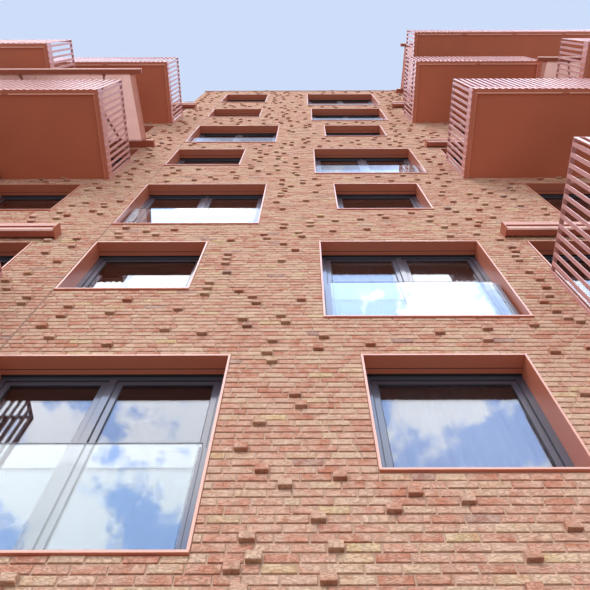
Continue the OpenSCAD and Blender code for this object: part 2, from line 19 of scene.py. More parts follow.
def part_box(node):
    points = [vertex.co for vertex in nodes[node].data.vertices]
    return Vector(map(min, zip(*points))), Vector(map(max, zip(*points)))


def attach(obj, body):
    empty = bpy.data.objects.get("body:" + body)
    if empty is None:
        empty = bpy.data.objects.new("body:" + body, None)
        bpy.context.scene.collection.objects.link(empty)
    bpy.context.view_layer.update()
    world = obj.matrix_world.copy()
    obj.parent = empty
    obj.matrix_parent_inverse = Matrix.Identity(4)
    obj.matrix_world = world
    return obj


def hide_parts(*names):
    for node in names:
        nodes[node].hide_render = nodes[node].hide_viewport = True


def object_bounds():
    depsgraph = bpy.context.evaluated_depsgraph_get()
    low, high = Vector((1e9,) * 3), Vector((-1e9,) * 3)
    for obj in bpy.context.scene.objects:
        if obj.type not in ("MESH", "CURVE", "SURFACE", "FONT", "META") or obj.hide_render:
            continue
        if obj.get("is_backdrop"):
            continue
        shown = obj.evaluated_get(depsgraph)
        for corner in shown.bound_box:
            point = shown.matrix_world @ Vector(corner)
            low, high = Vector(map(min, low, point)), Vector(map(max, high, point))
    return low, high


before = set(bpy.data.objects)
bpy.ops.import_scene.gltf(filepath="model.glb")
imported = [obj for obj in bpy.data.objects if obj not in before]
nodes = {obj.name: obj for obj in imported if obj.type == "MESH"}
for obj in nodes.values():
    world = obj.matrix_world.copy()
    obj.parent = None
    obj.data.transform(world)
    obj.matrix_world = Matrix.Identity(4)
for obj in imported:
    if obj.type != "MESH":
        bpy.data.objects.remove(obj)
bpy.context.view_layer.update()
print("nodes in the frame:", len(nodes))

# %% Planes of the block, read from the frame
left_x, front_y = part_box("front_wall_1")[0].xy
right_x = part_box("front_wall_1")[1].x
back_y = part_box("back_wall_0_1")[1].y
setback_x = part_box("setback_wall")[0].x
terrace_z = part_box("front_wall_7")[0].z
wall_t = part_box("setback_wall")[1].x - setback_x
print(f"street front {right_x - left_x:.2f} m wide, walls {wall_t:.2f} m thick")

# %% [markdown]
# ## Camera
# The photograph was taken from the pavement, close to the wall, with the camera tilted up. Its focal
# length and tilt were found from the window corners. Lens and shift are worked out from pixels of a
# square image, because a lens of 38.7 mm on a 36 mm sensor says less than the measured values do.

# %% Camera at the photograph's place
image_side = 590
focal_length_in_pixels = 633.5
middle_column_of_lens = 305.3
eye_height = 1.6
eye_to_front = 2.835
pitch = math.radians(65.556)
roll = math.radians(-0.143)


def camera_turn():
    """Columns are the camera's right, up and backwards directions."""
    right = Vector((1, 0, 0))
    forward = Vector((0, math.cos(pitch), math.sin(pitch)))
    up = right.cross(forward)
    rolled_right = right * math.cos(roll) + up * math.sin(roll)
    rolled_up = up * math.cos(roll) - right * math.sin(roll)
    return Matrix((rolled_right, rolled_up, -forward)).transposed().to_4x4()


bpy.ops.object.camera_add()
camera = bpy.context.object
camera.matrix_world = Matrix.Translation((0, front_y - eye_to_front, eye_height)) @ camera_turn()
camera.data.sensor_width = 36
camera.data.lens = focal_length_in_pixels / image_side * camera.data.sensor_width
camera.data.shift_x = (image_side / 2 - middle_column_of_lens) / image_side
camera.data.clip_end = 1000
bpy.context.scene.camera = camera
bpy.context.scene.view_settings.view_transform = "Standard"
print(f"lens {camera.data.lens:.1f} mm")

# %% [markdown]
# ## Colours as a paint chart gives them
# Shaders work with linear light, while a paint chart gives screen values from 0 to 255. One small
# function turns the second into the first, so that every colour below can be read as on a chart.


# %% Paint values
def paint(red, green, blue):
    """A colour from 0 to 255 as the linear values that a shader takes."""
    shares = [level / 255 for level in (red, green, blue)]
    linear = [s / 12.92 if s <= 0.04045 else ((s + 0.055) / 1.055) ** 2.4 for s in shares]
    return (*linear, 1.0)


def dimmed(colour, share):
    """The same colour with a share of its light. A share over 1 makes it brighter."""
    return (*(level * share for level in colour[:3]), 1.0)


print(f"a grey of 128 gives back {paint(128, 128, 128)[0]:.2f} of the light")

# %% [markdown]
# ## Nodes without clutter
# A material is a tree of nodes. Writing each node and link out takes many lines, so put() adds a node,
# gives it its settings, and either sets or links each input that is named. An underscore in a name
# stands for the space in the socket's label. The other helpers stand for the nodes that are used most:
# a mix of two colours, a step of arithmetic, and a change of range.


# %% Node helpers
def plug(tree, socket, value):
    """Links a socket to another node's output, or sets it to a plain value."""
    if isinstance(value, bpy.types.NodeSocket):
        tree.links.new(value, socket)
    else:
        socket.default_value = value


def feed(tree, node, **inputs):
    """Sets or links the named inputs of a node."""
    for name, value in inputs.items():
        plug(tree, node.inputs[name.replace("_", " ")], value)


def put(tree, kind, settings=None, **inputs):
    """Adds a shader node with its settings and inputs."""
    node = tree.nodes.new("ShaderNode" + kind)
    for name, value in (settings or {}).items():
        setattr(node, name, value)
    feed(tree, node, **inputs)
    return node


# %% Nodes that are used most
def by_identifier(sockets, identifier):
    return next(socket for socket in sockets if socket.identifier == identifier)


def blend_colours(tree, share, first, second, mode="MIX"):
    """Mixes two colours. Each of the three values is a socket or a plain value."""
    node = put(tree, "Mix", {"data_type": "RGBA", "blend_type": mode})
    for identifier, value in [("Factor_Float", share), ("A_Color", first), ("B_Color", second)]:
        plug(tree, by_identifier(node.inputs, identifier), value)
    return by_identifier(node.outputs, "Result_Color")


def maths(tree, operation, first, second=0.5):
    """One step of arithmetic on sockets or numbers."""
    node = put(tree, "Math", {"operation": operation})
    for socket, value in zip(node.inputs, (first, second)):
        plug(tree, socket, value)
    return node.outputs[0]


def stretched(tree, low, high, value, to_low=0.0, to_high=1.0):
    """Maps a value from one range to another and clamps it there."""
    node = put(tree, "MapRange", Value=value, From_Min=low, From_Max=high, To_Min=to_low, To_Max=to_high)
    return node.outputs["Result"]


# %% [markdown]
# ## Finishes that are used more than once
# Five things return on many surfaces: the fine grain of a coat or a stone, streaks where rain runs
# down, dust on what faces up, a painted highlight on what faces the street or the yard, and the threads
# of a cloth. Each is a node group with named inputs, so it is built once and each material sets its own
# values.


# %% An empty node group
def new_group(name, numbers, outputs):
    """A shader group with number inputs and outputs. Returns (tree, inputs, output node)."""
    tree = bpy.data.node_groups.new(name, "ShaderNodeTree")
    for label, default in numbers.items():
        socket = tree.interface.new_socket(label, in_out="INPUT", socket_type="NodeSocketFloat")
        socket.default_value = default
    for label in outputs:
        tree.interface.new_socket(label, in_out="OUTPUT", socket_type="NodeSocketFloat")
    start = tree.nodes.new("NodeGroupInput")
    end = tree.nodes.new("NodeGroupOutput")
    return tree, start.outputs, end


# %% Grain and mottle
def grain_group():
    """Fine height and broad mottle. Density is in grains per metre, and Seed moves the pattern."""
    mottles_to_grains = 0.08
    tree, given, end = new_group("grain", {"Density": 300.0, "Seed": 0.0}, ["Height", "Mottle"])
    place = put(tree, "TexCoord").outputs["Object"]
    fine = put(tree, "TexNoise", {"noise_dimensions": "4D"}, Vector=place, Scale=given["Density"],
               W=given["Seed"], Detail=4.0)
    broad_density = maths(tree, "MULTIPLY", given["Density"], mottles_to_grains)
    broad = put(tree, "TexNoise", {"noise_dimensions": "4D"}, Vector=place, Scale=broad_density,
                W=given["Seed"], Detail=3.0)
    feed(tree, end, Height=fine.outputs["Fac"], Mottle=stretched(tree, 0.3, 0.7, broad.outputs["Fac"]))
    return tree


# %% Rain streaks and dust
def streaks_group():
    """Upright streaks, as where rain runs down a face."""
    streak_slimness = 0.06
    tree, given, end = new_group("rain_streaks", {"Density": 6.0, "Amount": 0.5}, ["Mask"])
    place = put(tree, "TexCoord").outputs["Object"]
    squeezed = put(tree, "Mapping", Vector=place, Scale=(1.0, 1.0, streak_slimness))
    noise = put(tree, "TexNoise", Vector=squeezed.outputs["Vector"], Scale=given["Density"], Detail=5.0)
    mask = stretched(tree, 0.45, 0.75, noise.outputs["Fac"])
    feed(tree, end, Mask=maths(tree, "MULTIPLY", mask, given["Amount"]))
    return tree


def dust_group():
    """Dust on faces that look up, thicker in patches."""
    tree, given, end = new_group("settled_dust", {"Amount": 0.4}, ["Mask"])
    place = put(tree, "TexCoord").outputs["Object"]
    normal = put(tree, "SeparateXYZ", Vector=put(tree, "NewGeometry").outputs["Normal"])
    facing_up = stretched(tree, 0.5, 0.95, normal.outputs["Z"])
    patches = put(tree, "TexNoise", Vector=place, Scale=3.0, Detail=6.0)
    mask = maths(tree, "MULTIPLY", facing_up, stretched(tree, 0.3, 0.7, patches.outputs["Fac"]))
    feed(tree, end, Mask=maths(tree, "MULTIPLY", mask, given["Amount"]))
    return tree


# %% Painted highlight
def painted_highlight_group():
    """A painted highlight: a mask on the faces that look to the street or the yard."""
    tree, given, end = new_group("painted_highlight_mask", {"Amount": 0.5}, ["Mask"])
    normal = put(tree, "SeparateXYZ", Vector=put(tree, "NewGeometry").outputs["Normal"])
    facing = stretched(tree, 0.5, 0.65, maths(tree, "ABSOLUTE", normal.outputs["Y"]))
    feed(tree, end, Mask=maths(tree, "MULTIPLY", facing, given["Amount"]))
    return tree


# %% Threads of a weave
def weave_group():
    """Threads over and under each other, along the piece's own UV map, which is in metres."""
    tree, given, end = new_group("weave", {"Threads": 900.0}, ["Height"])
    place = put(tree, "UVMap", {"uv_map": "cloth"}).outputs["UV"]
    turned = []
    for direction in ("X", "Y"):
        wave = put(tree, "TexWave", {"wave_type": "BANDS", "bands_direction": direction}, Vector=place,
                   Scale=given["Threads"])
        turned.append(wave.outputs["Fac"])
    feed(tree, end, Height=maths(tree, "MAXIMUM", *turned))
    return tree


# %% The shared groups
groups = {"grain": grain_group(), "streaks": streaks_group(), "dust": dust_group(),
          "painted_highlight": painted_highlight_group(), "weave": weave_group()}


def put_group(tree, name, **numbers):
    node = tree.nodes.new("ShaderNodeGroup")
    node.node_tree = groups[name]
    feed(tree, node, **numbers)
    return node.outputs


print("shared groups:", ", ".join(groups))

# %% [markdown]
# ## Coats, stone and metal
# Most surfaces are one body colour that changes a little from place to place, with a fine grain, some
# rain streaks, some dust, and on the paintwork a painted highlight on faces that look to the street or
# the yard. coated() builds that material from the groups, with the values that make it powder coat,
# concrete or rubber. Roughness follows the mottle, so highlights break up too.

# %% A material for coats, stone and metal
dust_colour = paint(176, 166, 155)
streak_shade = 0.72


def new_material(name):
    material = bpy.data.materials.new(name)
    material.use_nodes = True
    tree = material.node_tree
    return material, tree, tree.nodes["Principled BSDF"]


def bump(tree, shader, height, depth, strength=1.0):
    """Lets a height from 0 to 1 stand for a depth in metres."""
    node = put(tree, "Bump", Strength=strength, Distance=depth, Height=height)
    feed(tree, shader, Normal=node.outputs["Normal"])


def coated(name, colour, change=0.9, rough=(0.4, 0.5), density=300.0, depth=0.0004, streaks=0.2,
           dust=0.3, painted_highlight=0.0, painted_highlight_colour=None, **plain):
    """A body colour with mottle, streaks, dust and grain.

    Change is how dark the mottle may go, rough is the range of roughness, density is in grains per
    metre, and depth is that of a grain in metres. What is plain goes straight to the shader.
    """
    material, tree, shader = new_material(name)
    grain = put_group(tree, "grain", Density=density)
    body = blend_colours(tree, grain["Mottle"], dimmed(colour, change), colour)
    # Faces that look to the street or the yard get a paler colour here: a painted highlight.
    if painted_highlight:
        painted_highlight_node = put_group(tree, "painted_highlight", Amount=painted_highlight)
        body = blend_colours(tree, painted_highlight_node["Mask"], body, painted_highlight_colour)
    rain = put_group(tree, "streaks", Amount=streaks)
    body = blend_colours(tree, rain["Mask"], body, dimmed(colour, streak_shade))
    settled = put_group(tree, "dust", Amount=dust)
    body = blend_colours(tree, settled["Mask"], body, dust_colour)
    roughness = stretched(tree, 0.0, 1.0, grain["Mottle"], *rough)
    feed(tree, shader, Base_Color=body, Roughness=roughness, **plain)
    bump(tree, shader, grain["Height"], depth)
    return material


# %% [markdown]
# ## Powder coats
# The linings, balconies, railings and awnings are powder-coated in salmon and pink, and the window
# frames in dark grey. Such a coat has a clear skin over its colour, which is the shader's Coat. It is
# used in three degrees of shine: satin on linings and channels, gloss on window frames, and a thin gloss
# on railings and awning cases, which mirror the sky only a little. The front bars of the awnings have no
# skin. Linings, drip strips, awning cases and front bars are paler on faces that look to the street or
# the yard: a painted highlight.

# %% Coats of the metalwork
satin = {"Coat_Weight": 1.0, "Coat_Roughness": 0.4, "Coat_IOR": 1.45, "IOR": 1.3}
gloss = {"Coat_Weight": 1.0, "Coat_Roughness": 0.12, "Coat_IOR": 1.5, "IOR": 1.3}
thin_gloss = {"Coat_Weight": 0.3, "Coat_Roughness": 0.25, "Coat_IOR": 1.45, "IOR": 1.2}
# Linings, awning cases, front bars and drip strips get a paler colour on faces that look to the street
# or the yard: a painted highlight.
lining_coat = coated("lining_coat", paint(203, 119, 93), change=0.96, density=900.0, depth=0.00006,
                     streaks=0.1, painted_highlight=0.7, painted_highlight_colour=paint(242, 194, 178), **satin)
steel_coat = coated("balcony_steel_coat", paint(204, 124, 102), change=0.92, **satin)
soffit_coat = coated("soffit_panel_coat", paint(206, 120, 92), change=0.84, rough=(0.45, 0.6),
                     density=9.0, streaks=0.0)
railing_coat = coated("railing_coat", paint(217, 163, 164), change=0.95, streaks=0.1, **thin_gloss)
awning_coat = coated("awning_case_coat", paint(178, 100, 80), change=0.93, rough=(0.3, 0.4),
                     depth=0.0001, painted_highlight=0.9, painted_highlight_colour=paint(242, 194, 184), **thin_gloss)
bar_coat = coated("awning_bar_coat", paint(178, 100, 82), change=0.93, rough=(0.5, 0.6), depth=0.0001,
                  painted_highlight=0.9, painted_highlight_colour=paint(246, 204, 196), Specular_IOR_Level=0.3)
arm_coat = coated("awning_arm_coat", paint(172, 104, 88), rough=(0.35, 0.5), density=500.0)
frame_coat = coated("window_frame_coat", paint(70, 74, 90), change=0.96, rough=(0.3, 0.38),
                    density=1500.0, depth=0.00003, streaks=0.05, dust=0.15, **gloss)
drip_coat = coated("drip_strip_coat", paint(206, 128, 104), change=0.95, rough=(0.3, 0.4), streaks=0.1,
                   painted_highlight=0.7, painted_highlight_colour=paint(240, 178, 160), **satin)
coping_coat = coated("coping_coat", paint(150, 118, 104), rough=(0.35, 0.5), streaks=0.4)
print("coats:", len(bpy.data.materials))

# %% Stone, boards, rubber and steel
concrete = coated("concrete_cast", paint(132, 129, 124), change=0.82, rough=(0.75, 0.9), density=120.0,
                  depth=0.0015, streaks=0.25)
party_render = coated("party_wall_render", paint(196, 178, 160), change=0.88, rough=(0.8, 0.95),
                      density=90.0, depth=0.002, streaks=0.35, dust=0.1)
paver_stone = coated("paver_stone", paint(168, 164, 156), change=0.8, rough=(0.75, 0.92), density=250.0,
                     depth=0.001, dust=0.5)
membrane = coated("roof_membrane", paint(98, 98, 100), change=0.85, rough=(0.8, 0.95), density=500.0,
                  depth=0.0012, dust=0.2)
deck_wood = coated("deck_boards_oiled", paint(158, 132, 106), change=0.7, rough=(0.6, 0.8), density=90.0,
                   depth=0.0012, dust=0.5)
rubber = coated("black_rubber", paint(28, 28, 30), change=0.8, rough=(0.55, 0.75), density=600.0,
                streaks=0.05)
sealant = coated("joint_sealant", paint(150, 122, 104), change=0.85, rough=(0.6, 0.8), density=200.0)
stainless = coated("brushed_stainless", paint(190, 190, 192), change=0.85, rough=(0.22, 0.38),
                   density=800.0, depth=0.0001, Metallic=1.0)
print("coats and other materials:", len(bpy.data.materials))

# %% [markdown]
# ## Brick
# The bricks are hand-formed: salmon, pale pink, now and then a straw-coloured or a burnt one. The clay
# was pressed into a mould by hand, which leaves folds, a pale blush and sand on the face. Every brick
# carries a number from 0 to 1, its tone. The tone picks the colour from a ramp and also shifts the
# noise, so no two bricks have the same folds. Painted shade darkens the creases of the folds and the
# faces that look down, where less light falls. This painted shade is warm: it takes more of the green
# and the blue than of the red.

# %% Colours of the bricks
burnt_to_straw = [
    (0.00, paint(184, 152, 148)), (0.02, paint(196, 156, 146)), (0.03, paint(208, 146, 124)),
    (0.16, paint(216, 156, 136)), (0.42, paint(224, 173, 154)), (0.68, paint(230, 190, 170)),
    (0.95, paint(232, 200, 174)), (1.00, paint(230, 204, 162)),
]
blush_colour = paint(238, 208, 190)
bare_clay = paint(204, 128, 96)
print("colours on the ramp:", len(burnt_to_straw))


# %% Colour of a tone
def tone_colour(tree, tone):
    """The colour that belongs to a brick's tone."""
    ramp = put(tree, "ValToRGB", Fac=tone)
    stops = ramp.color_ramp.elements
    for position, colour in burnt_to_straw[1:-1]:
        stops.new(position)
    for stop, (position, colour) in zip(stops, burnt_to_straw):
        stop.position = position
        stop.color = colour
    return ramp.outputs["Color"]


# %% Brick material
def brick_material():
    """Clay with folds, blush and sand. Densities are per metre."""
    seeds = 97.0
    sand_density, fold_density, blush_density = 220.0, 26.0, 11.0
    fold_flatness, fold_edge, relief_depth = 2.6, 0.022, 0.004
    darkest_fold, darkest_underside = 0.74, 0.62
    green_loss, blue_loss = 1.35, 1.6
    material, tree, shader = new_material("handformed_brick")
    tone = put(tree, "Attribute", {"attribute_name": "tone"}).outputs["Fac"]
    seed = maths(tree, "MULTIPLY", tone, seeds)
    place = put(tree, "TexCoord").outputs["Object"]
    flattened = put(tree, "Mapping", Vector=place, Scale=(1.0, 1.0, fold_flatness)).outputs["Vector"]
    sand = put_group(tree, "grain", Density=sand_density, Seed=seed)
    folds = put(tree, "TexNoise", {"noise_dimensions": "4D"}, W=seed, Scale=fold_density, Detail=5.0,
                Vector=flattened).outputs["Fac"]
    blush = put(tree, "TexNoise", {"noise_dimensions": "4D"}, W=seed, Scale=blush_density, Detail=3.0,
                Vector=place).outputs["Fac"]
    body = blend_colours(tree, stretched(tree, 0.42, 0.66, blush, 0.0, 0.6), tone_colour(tree, tone),
                         blush_colour)
    body = blend_colours(tree, stretched(tree, 0.46, 0.28, blush, 0.0, 0.5), body, bare_clay)
    from_fold = maths(tree, "ABSOLUTE", maths(tree, "SUBTRACT", folds, 0.5))
    # Painted shade: the creases of the folds are darkened.
    fold_shade = stretched(tree, 0.0, fold_edge, from_fold, darkest_fold, 1.0)
    # Painted shade: faces that look down are darker, as less light reaches them.
    facing = put(tree, "SeparateXYZ", Vector=put(tree, "NewGeometry").outputs["True Normal"])
    under_shade = stretched(tree, -0.9, -0.5, facing.outputs["Z"], darkest_underside, 1.0)
    shade = maths(tree, "MULTIPLY", fold_shade, under_shade)
    shade_colour = put(tree, "CombineXYZ", X=shade, Y=maths(tree, "POWER", shade, green_loss),
                       Z=maths(tree, "POWER", shade, blue_loss)).outputs["Vector"]
    body = blend_colours(tree, 1.0, body, shade_colour, "MULTIPLY")
    feed(tree, shader, Base_Color=body, Roughness=stretched(tree, 0.3, 0.7, sand["Height"], 0.82, 0.96),
         Specular_IOR_Level=0.27)
    relief = maths(tree, "ADD", maths(tree, "MULTIPLY", sand["Height"], 0.25),
                   stretched(tree, 0.0, 0.05, from_fold))
    bump(tree, shader, relief, relief_depth, strength=0.9)
    return material


brick = brick_material()
print(f"{brick.name}: {len(brick.node_tree.nodes)} nodes")

# %% [markdown]
# ## Mortar and plaster
# A wall of the frame is one solid for its brick leaf, cavity and inner leaf. Outside it shows as the
# mortar between the bricks, and inside as plaster, so the material changes at a depth in the wall. The
# walls round the terrace show mortar on all sides.

# %% Wall materials
mortar_share_of_wall = 0.75


def inside_the_walls(tree):
    """1 behind the walls' inner faces and in the window reveals' last stretch, 0 outside."""
    place = put(tree, "SeparateXYZ", Vector=put(tree, "TexCoord").outputs["Object"])
    across = maths(tree, "ABSOLUTE", place.outputs["Y"])
    return maths(tree, "LESS_THAN", across, back_y - mortar_share_of_wall * wall_t)


def wall_material(name, plastered):
    """Mortar, and if it is plastered, plaster on the inner side."""
    material, tree, shader = new_material(name)
    grain = put_group(tree, "grain", Density=260.0)
    body = blend_colours(tree, grain["Mottle"], paint(196, 166, 148), paint(214, 186, 168))
    if plastered:
        body = blend_colours(tree, inside_the_walls(tree), body, paint(190, 187, 180))
    feed(tree, shader, Base_Color=body, Roughness=stretched(tree, 0.0, 1.0, grain["Mottle"], 0.85, 0.95))
    bump(tree, shader, grain["Height"], 0.0015)
    return material


wall = wall_material("mortar_and_plaster", plastered=True)
bare_wall = wall_material("mortar", plastered=False)
print(f"plaster starts {mortar_share_of_wall * wall_t * 1000:.0f} mm behind the brick face")

# %% [markdown]
# ## Glass
# The panes have a thin metal coating against heat, which reflects more of the sky than bare glass
# does. A small share of metal and a trace of blue in the mirror stand for it. Float glass is flat and
# clean, so the panes get neither bump nor roughness, and what they mirror keeps sharp, straight edges.
# The balustrades are laminated glass with a trace of green.

# %% Glass materials
blue_mirror = (0.75, 0.87, 1.0, 1.0)


def glass_material(name, colour, index, metal):
    """Metal is the share of light that a coating throws back."""
    material, tree, shader = new_material(name)
    feed(tree, shader, Base_Color=colour, IOR=index, Transmission_Weight=1.0, Metallic=metal,
         Roughness=0.0, Specular_Tint=blue_mirror)
    return material


window_glass = glass_material("coated_window_glass", paint(206, 210, 220), index=1.5, metal=0.04)
balustrade_glass = glass_material("balustrade_glass", paint(240, 246, 246), index=1.45, metal=0.0)
print("materials:", len(bpy.data.materials))

# %% [markdown]
# ## A finish for every node
# Each node of the frame gets its material here, and its shape stays as it is. Only the cloths and the
# curtains stay bare, because sheets take their place further on.


# %% Finish of every node of the frame
def give(piece, material):
    """Puts one material in every slot of a piece."""
    if not piece.material_slots:
        piece.data.materials.append(material)
    for slot in piece.material_slots:
        slot.material = material


node_finishes = {
    "ground_slab": concrete, "roof_slab": concrete,
    "setback_wall": bare_wall, "terrace_parapet": bare_wall,
    "left_party_wall": party_render, "right_party_wall": party_render, "copings": coping_coat,
    "front_linings": lining_coat, "back_linings": lining_coat,
    "front_frames": frame_coat, "back_frames": frame_coat, "entrance_door": frame_coat,
    "front_glass": window_glass, "back_glass": window_glass,
    "glass_balustrades": balustrade_glass, "balustrade_posts": frame_coat,
    "balcony_channels": steel_coat, "balcony_soffits": soffit_coat,
    "railing_fronts": railing_coat, "railing_ends": railing_coat,
    "awning_cassettes": awning_coat, "awning_front_bars": bar_coat, "awning_arms": arm_coat,
}
for name in nodes:
    if name.startswith("floor_slab"):
        node_finishes[name] = concrete
    elif name.startswith(("front_wall", "back_wall")):
        node_finishes[name] = wall
for name, material in node_finishes.items():
    give(nodes[name], material)
print("still bare:", ", ".join(name for name in nodes if name not in node_finishes))

# %% [markdown]
# ## Where the solids are
# A node of the frame often holds many like solids: all window linings, or all balconies. Its mesh is
# loose triangles, so a merged copy is walked from point to neighbour, and each connected part gives one
# box. From these boxes come the openings that the bricks leave free, and the seats of all small parts.


# %% Boxes of the solids in a node
def solids(name):
    """(lowest, highest corner) of each separate solid in a node, upwards and from left to right."""
    merged = bmesh.new()
    merged.from_mesh(nodes[name].data)
    bmesh.ops.remove_doubles(merged, verts=merged.verts, dist=0.0001)
    waiting = set(merged.verts)
    boxes = []
    while waiting:
        group = [waiting.pop()]
        for point in group:
            for edge in point.link_edges:
                other = edge.other_vert(point)
                if other in waiting:
                    waiting.discard(other)
                    group.append(other)
        low = Vector([min(p.co[axis] for p in group) for axis in range(3)])
        high = Vector([max(p.co[axis] for p in group) for axis in range(3)])
        boxes.append((low, high))
    merged.free()
    return sorted(boxes, key=lambda box: (round(box[0].z, 2), box[0].x))


front_linings = [box for box in solids("front_linings") if box[0].y < front_y]
terrace_linings = [box for box in solids("front_linings") if box[0].y > front_y]
back_linings = solids("back_linings")
balconies = solids("balcony_channels")
print("openings:", len(front_linings), len(terrace_linings), len(back_linings))
print("balconies:", len(balconies))

# %% [markdown]
# ## Modelling helpers
# New pieces start as a primitive and are shaped with operators, as by hand. An operator works on
# everything that is selected, and loading the frame leaves its nodes selected, so the selection is
# cleared before each step. Things that repeat are modelled once: a cloud of points holds the place,
# turn and size of each copy, and a small geometry-node tree puts the model on each point.


# %% Selecting and shaping
def clear_selection():
    if bpy.context.object and bpy.context.object.mode != "OBJECT":
        bpy.ops.object.mode_set(mode="OBJECT")
    bpy.ops.object.select_all(action="DESELECT")


def select_only(piece):
    clear_selection()
    piece.select_set(True)
    bpy.context.view_layer.objects.active = piece


def new_block(name, low, high):
    """A cube primitive that fills the space between two corners, with its place in its mesh."""
    clear_selection()
    low, high = Vector(low), Vector(high)
    bpy.ops.mesh.primitive_cube_add(size=1, location=(low + high) / 2, scale=high - low)
    piece = bpy.context.object
    piece.name = name
    bpy.ops.object.transform_apply(location=True, rotation=True, scale=True)
    return piece


def open_edit(piece, kind, wanted):
    """Opens edit mode with only those faces or points selected for which wanted is true."""
    select_only(piece)
    bpy.context.tool_settings.mesh_select_mode = (kind == "points", False, kind == "faces")
    bpy.ops.object.mode_set(mode="EDIT")
    bpy.ops.mesh.select_all(action="DESELECT")
    bpy.ops.object.mode_set(mode="OBJECT")
    for element in piece.data.polygons if kind == "faces" else piece.data.vertices:
        element.select = wanted(element)
    bpy.ops.object.mode_set(mode="EDIT")


def end_edit():
    bpy.ops.object.mode_set(mode="OBJECT")


# %% A tree that copies a model
def copying_tree():
    """Geometry nodes that put a model on every point, turned and stretched as the point says."""
    tree = bpy.data.node_groups.new("copies_on_points", "GeometryNodeTree")
    new_socket = tree.interface.new_socket
    new_socket("Geometry", in_out="INPUT", socket_type="NodeSocketGeometry")
    model_socket = new_socket("Model", in_out="INPUT", socket_type="NodeSocketObject")
    new_socket("Geometry", in_out="OUTPUT", socket_type="NodeSocketGeometry")
    start = tree.nodes.new("NodeGroupInput")
    end = tree.nodes.new("NodeGroupOutput")
    model = tree.nodes.new("GeometryNodeObjectInfo")
    copies = tree.nodes.new("GeometryNodeInstanceOnPoints")
    real = tree.nodes.new("GeometryNodeRealizeInstances")
    turning = tree.nodes.new("FunctionNodeEulerToRotation")
    for attribute, socket in [("turn", turning.inputs[0]), ("stretch", copies.inputs["Scale"])]:
        stored = tree.nodes.new("GeometryNodeInputNamedAttribute")
        stored.data_type = "FLOAT_VECTOR"
        stored.inputs["Name"].default_value = attribute
        tree.links.new(stored.outputs["Attribute"], socket)
    tree.links.new(start.outputs["Model"], model.inputs["Object"])
    tree.links.new(turning.outputs[0], copies.inputs["Rotation"])
    tree.links.new(start.outputs["Geometry"], copies.inputs["Points"])
    tree.links.new(model.outputs["Geometry"], copies.inputs["Instance"])
    tree.links.new(copies.outputs["Instances"], real.inputs["Geometry"])
    tree.links.new(real.outputs["Geometry"], end.inputs["Geometry"])
    return tree, model_socket.identifier


copies_tree, model_input = copying_tree()
print(f"{copies_tree.name}: {len(copies_tree.nodes)} nodes")


# %% Setting out copies
def set_out(name, model, places):
    """Joined copies of a model. A place is (location, turn, stretch, tone)."""
    mesh = bpy.data.meshes.new(name)
    mesh.from_pydata([place[0] for place in places], [], [])
    for index, attribute in [(1, "turn"), (2, "stretch")]:
        values = [number for place in places for number in place[index]]
        mesh.attributes.new(attribute, "FLOAT_VECTOR", "POINT").data.foreach_set("vector", values)
    tones = [place[3] for place in places]
    mesh.attributes.new("tone", "FLOAT", "POINT").data.foreach_set("value", tones)
    piece = bpy.data.objects.new(name, mesh)
    bpy.context.scene.collection.objects.link(piece)
    modifier = piece.modifiers.new("copies", "NODES")
    modifier.node_group = copies_tree
    modifier[model_input] = model
    select_only(piece)
    bpy.ops.object.modifier_apply(modifier="copies")
    for attribute in ("turn", "stretch"):
        piece.data.attributes.remove(piece.data.attributes[attribute])
    return piece


def throw_away(model):
    """Removes a model once its copies are made."""
    bpy.data.objects.remove(model)


# %% Keeping a piece
added_triangles = {}


def keep(piece, material):
    """Makes a piece part of the block, with its finish, and counts its triangles."""
    give(piece, material)
    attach(piece, "root")
    triangles = sum(len(face.vertices) - 2 for face in piece.data.polygons)
    added_triangles[piece.name] = triangles
    print(f"{piece.name}: {triangles} triangles")


# %% Many small blocks as one piece
def blocks(name, boxes, edge):
    """One piece with a block in each box. Edge is the width of the bevel on its edges."""
    model = new_block("block_model", (-0.5, -0.5, -0.5), (0.5, 0.5, 0.5))
    chooser = random.Random(name)
    places = []
    for low, high in boxes:
        low, high = Vector(low), Vector(high)
        places.append(((low + high) / 2, (0, 0, 0), high - low, chooser.random()))
    piece = set_out(name, model, places)
    throw_away(model)
    if edge:
        bevel = piece.modifiers.new("edges", "BEVEL")
        bevel.width = edge
        bevel.segments = 1
        bpy.ops.object.modifier_apply(modifier="edges")
    return piece


# %% [markdown]
# ## Bricks
# The walls are laid in a free running bond: stretchers, with a header where upright joints of two
# courses would meet. Every one to three metres a header is left standing out by four centimetres, which
# gives the front its speckle of small shadows. An image of bricks would be flat, so each brick is a
# block of its own on the mortar. The front's low storeys are close to the eye, and their bricks get a
# worn edge, while all others keep the plain block. No header stands out right beside an opening.

# %% Sizes of the brickwork
course_h = 0.075
joint = 0.010
stretcher = 0.200
header = 0.095
brick_h = course_h - joint
brick_d = 0.060
worn_edge = 0.004
mould_taper = (0.985, 1, 0.96)
worn_storeys = 4
print(f"bricks of {stretcher * 1000:.0f} x {header * 1000:.0f} x {brick_h * 1000:.0f} mm")


# %% Brick models
def brick_in_edit_mode(name):
    """A whole brick, open for editing with its front face selected."""
    model = new_block(name, (-stretcher / 2, 0, -brick_h / 2), (stretcher / 2, brick_d, brick_h / 2))
    open_edit(model, "faces", lambda face: face.normal.y < -0.5)
    return model


def worn_brick():
    """A brick with its front edges worn off."""
    model = brick_in_edit_mode("worn_brick")
    bpy.ops.mesh.bevel(offset=worn_edge, segments=1, affect="EDGES")
    end_edit()
    return model


def plain_brick():
    """A brick whose front is a little smaller than its back, as it comes out of the mould."""
    model = brick_in_edit_mode("plain_brick")
    bpy.ops.transform.resize(value=mould_taper)
    end_edit()
    return model


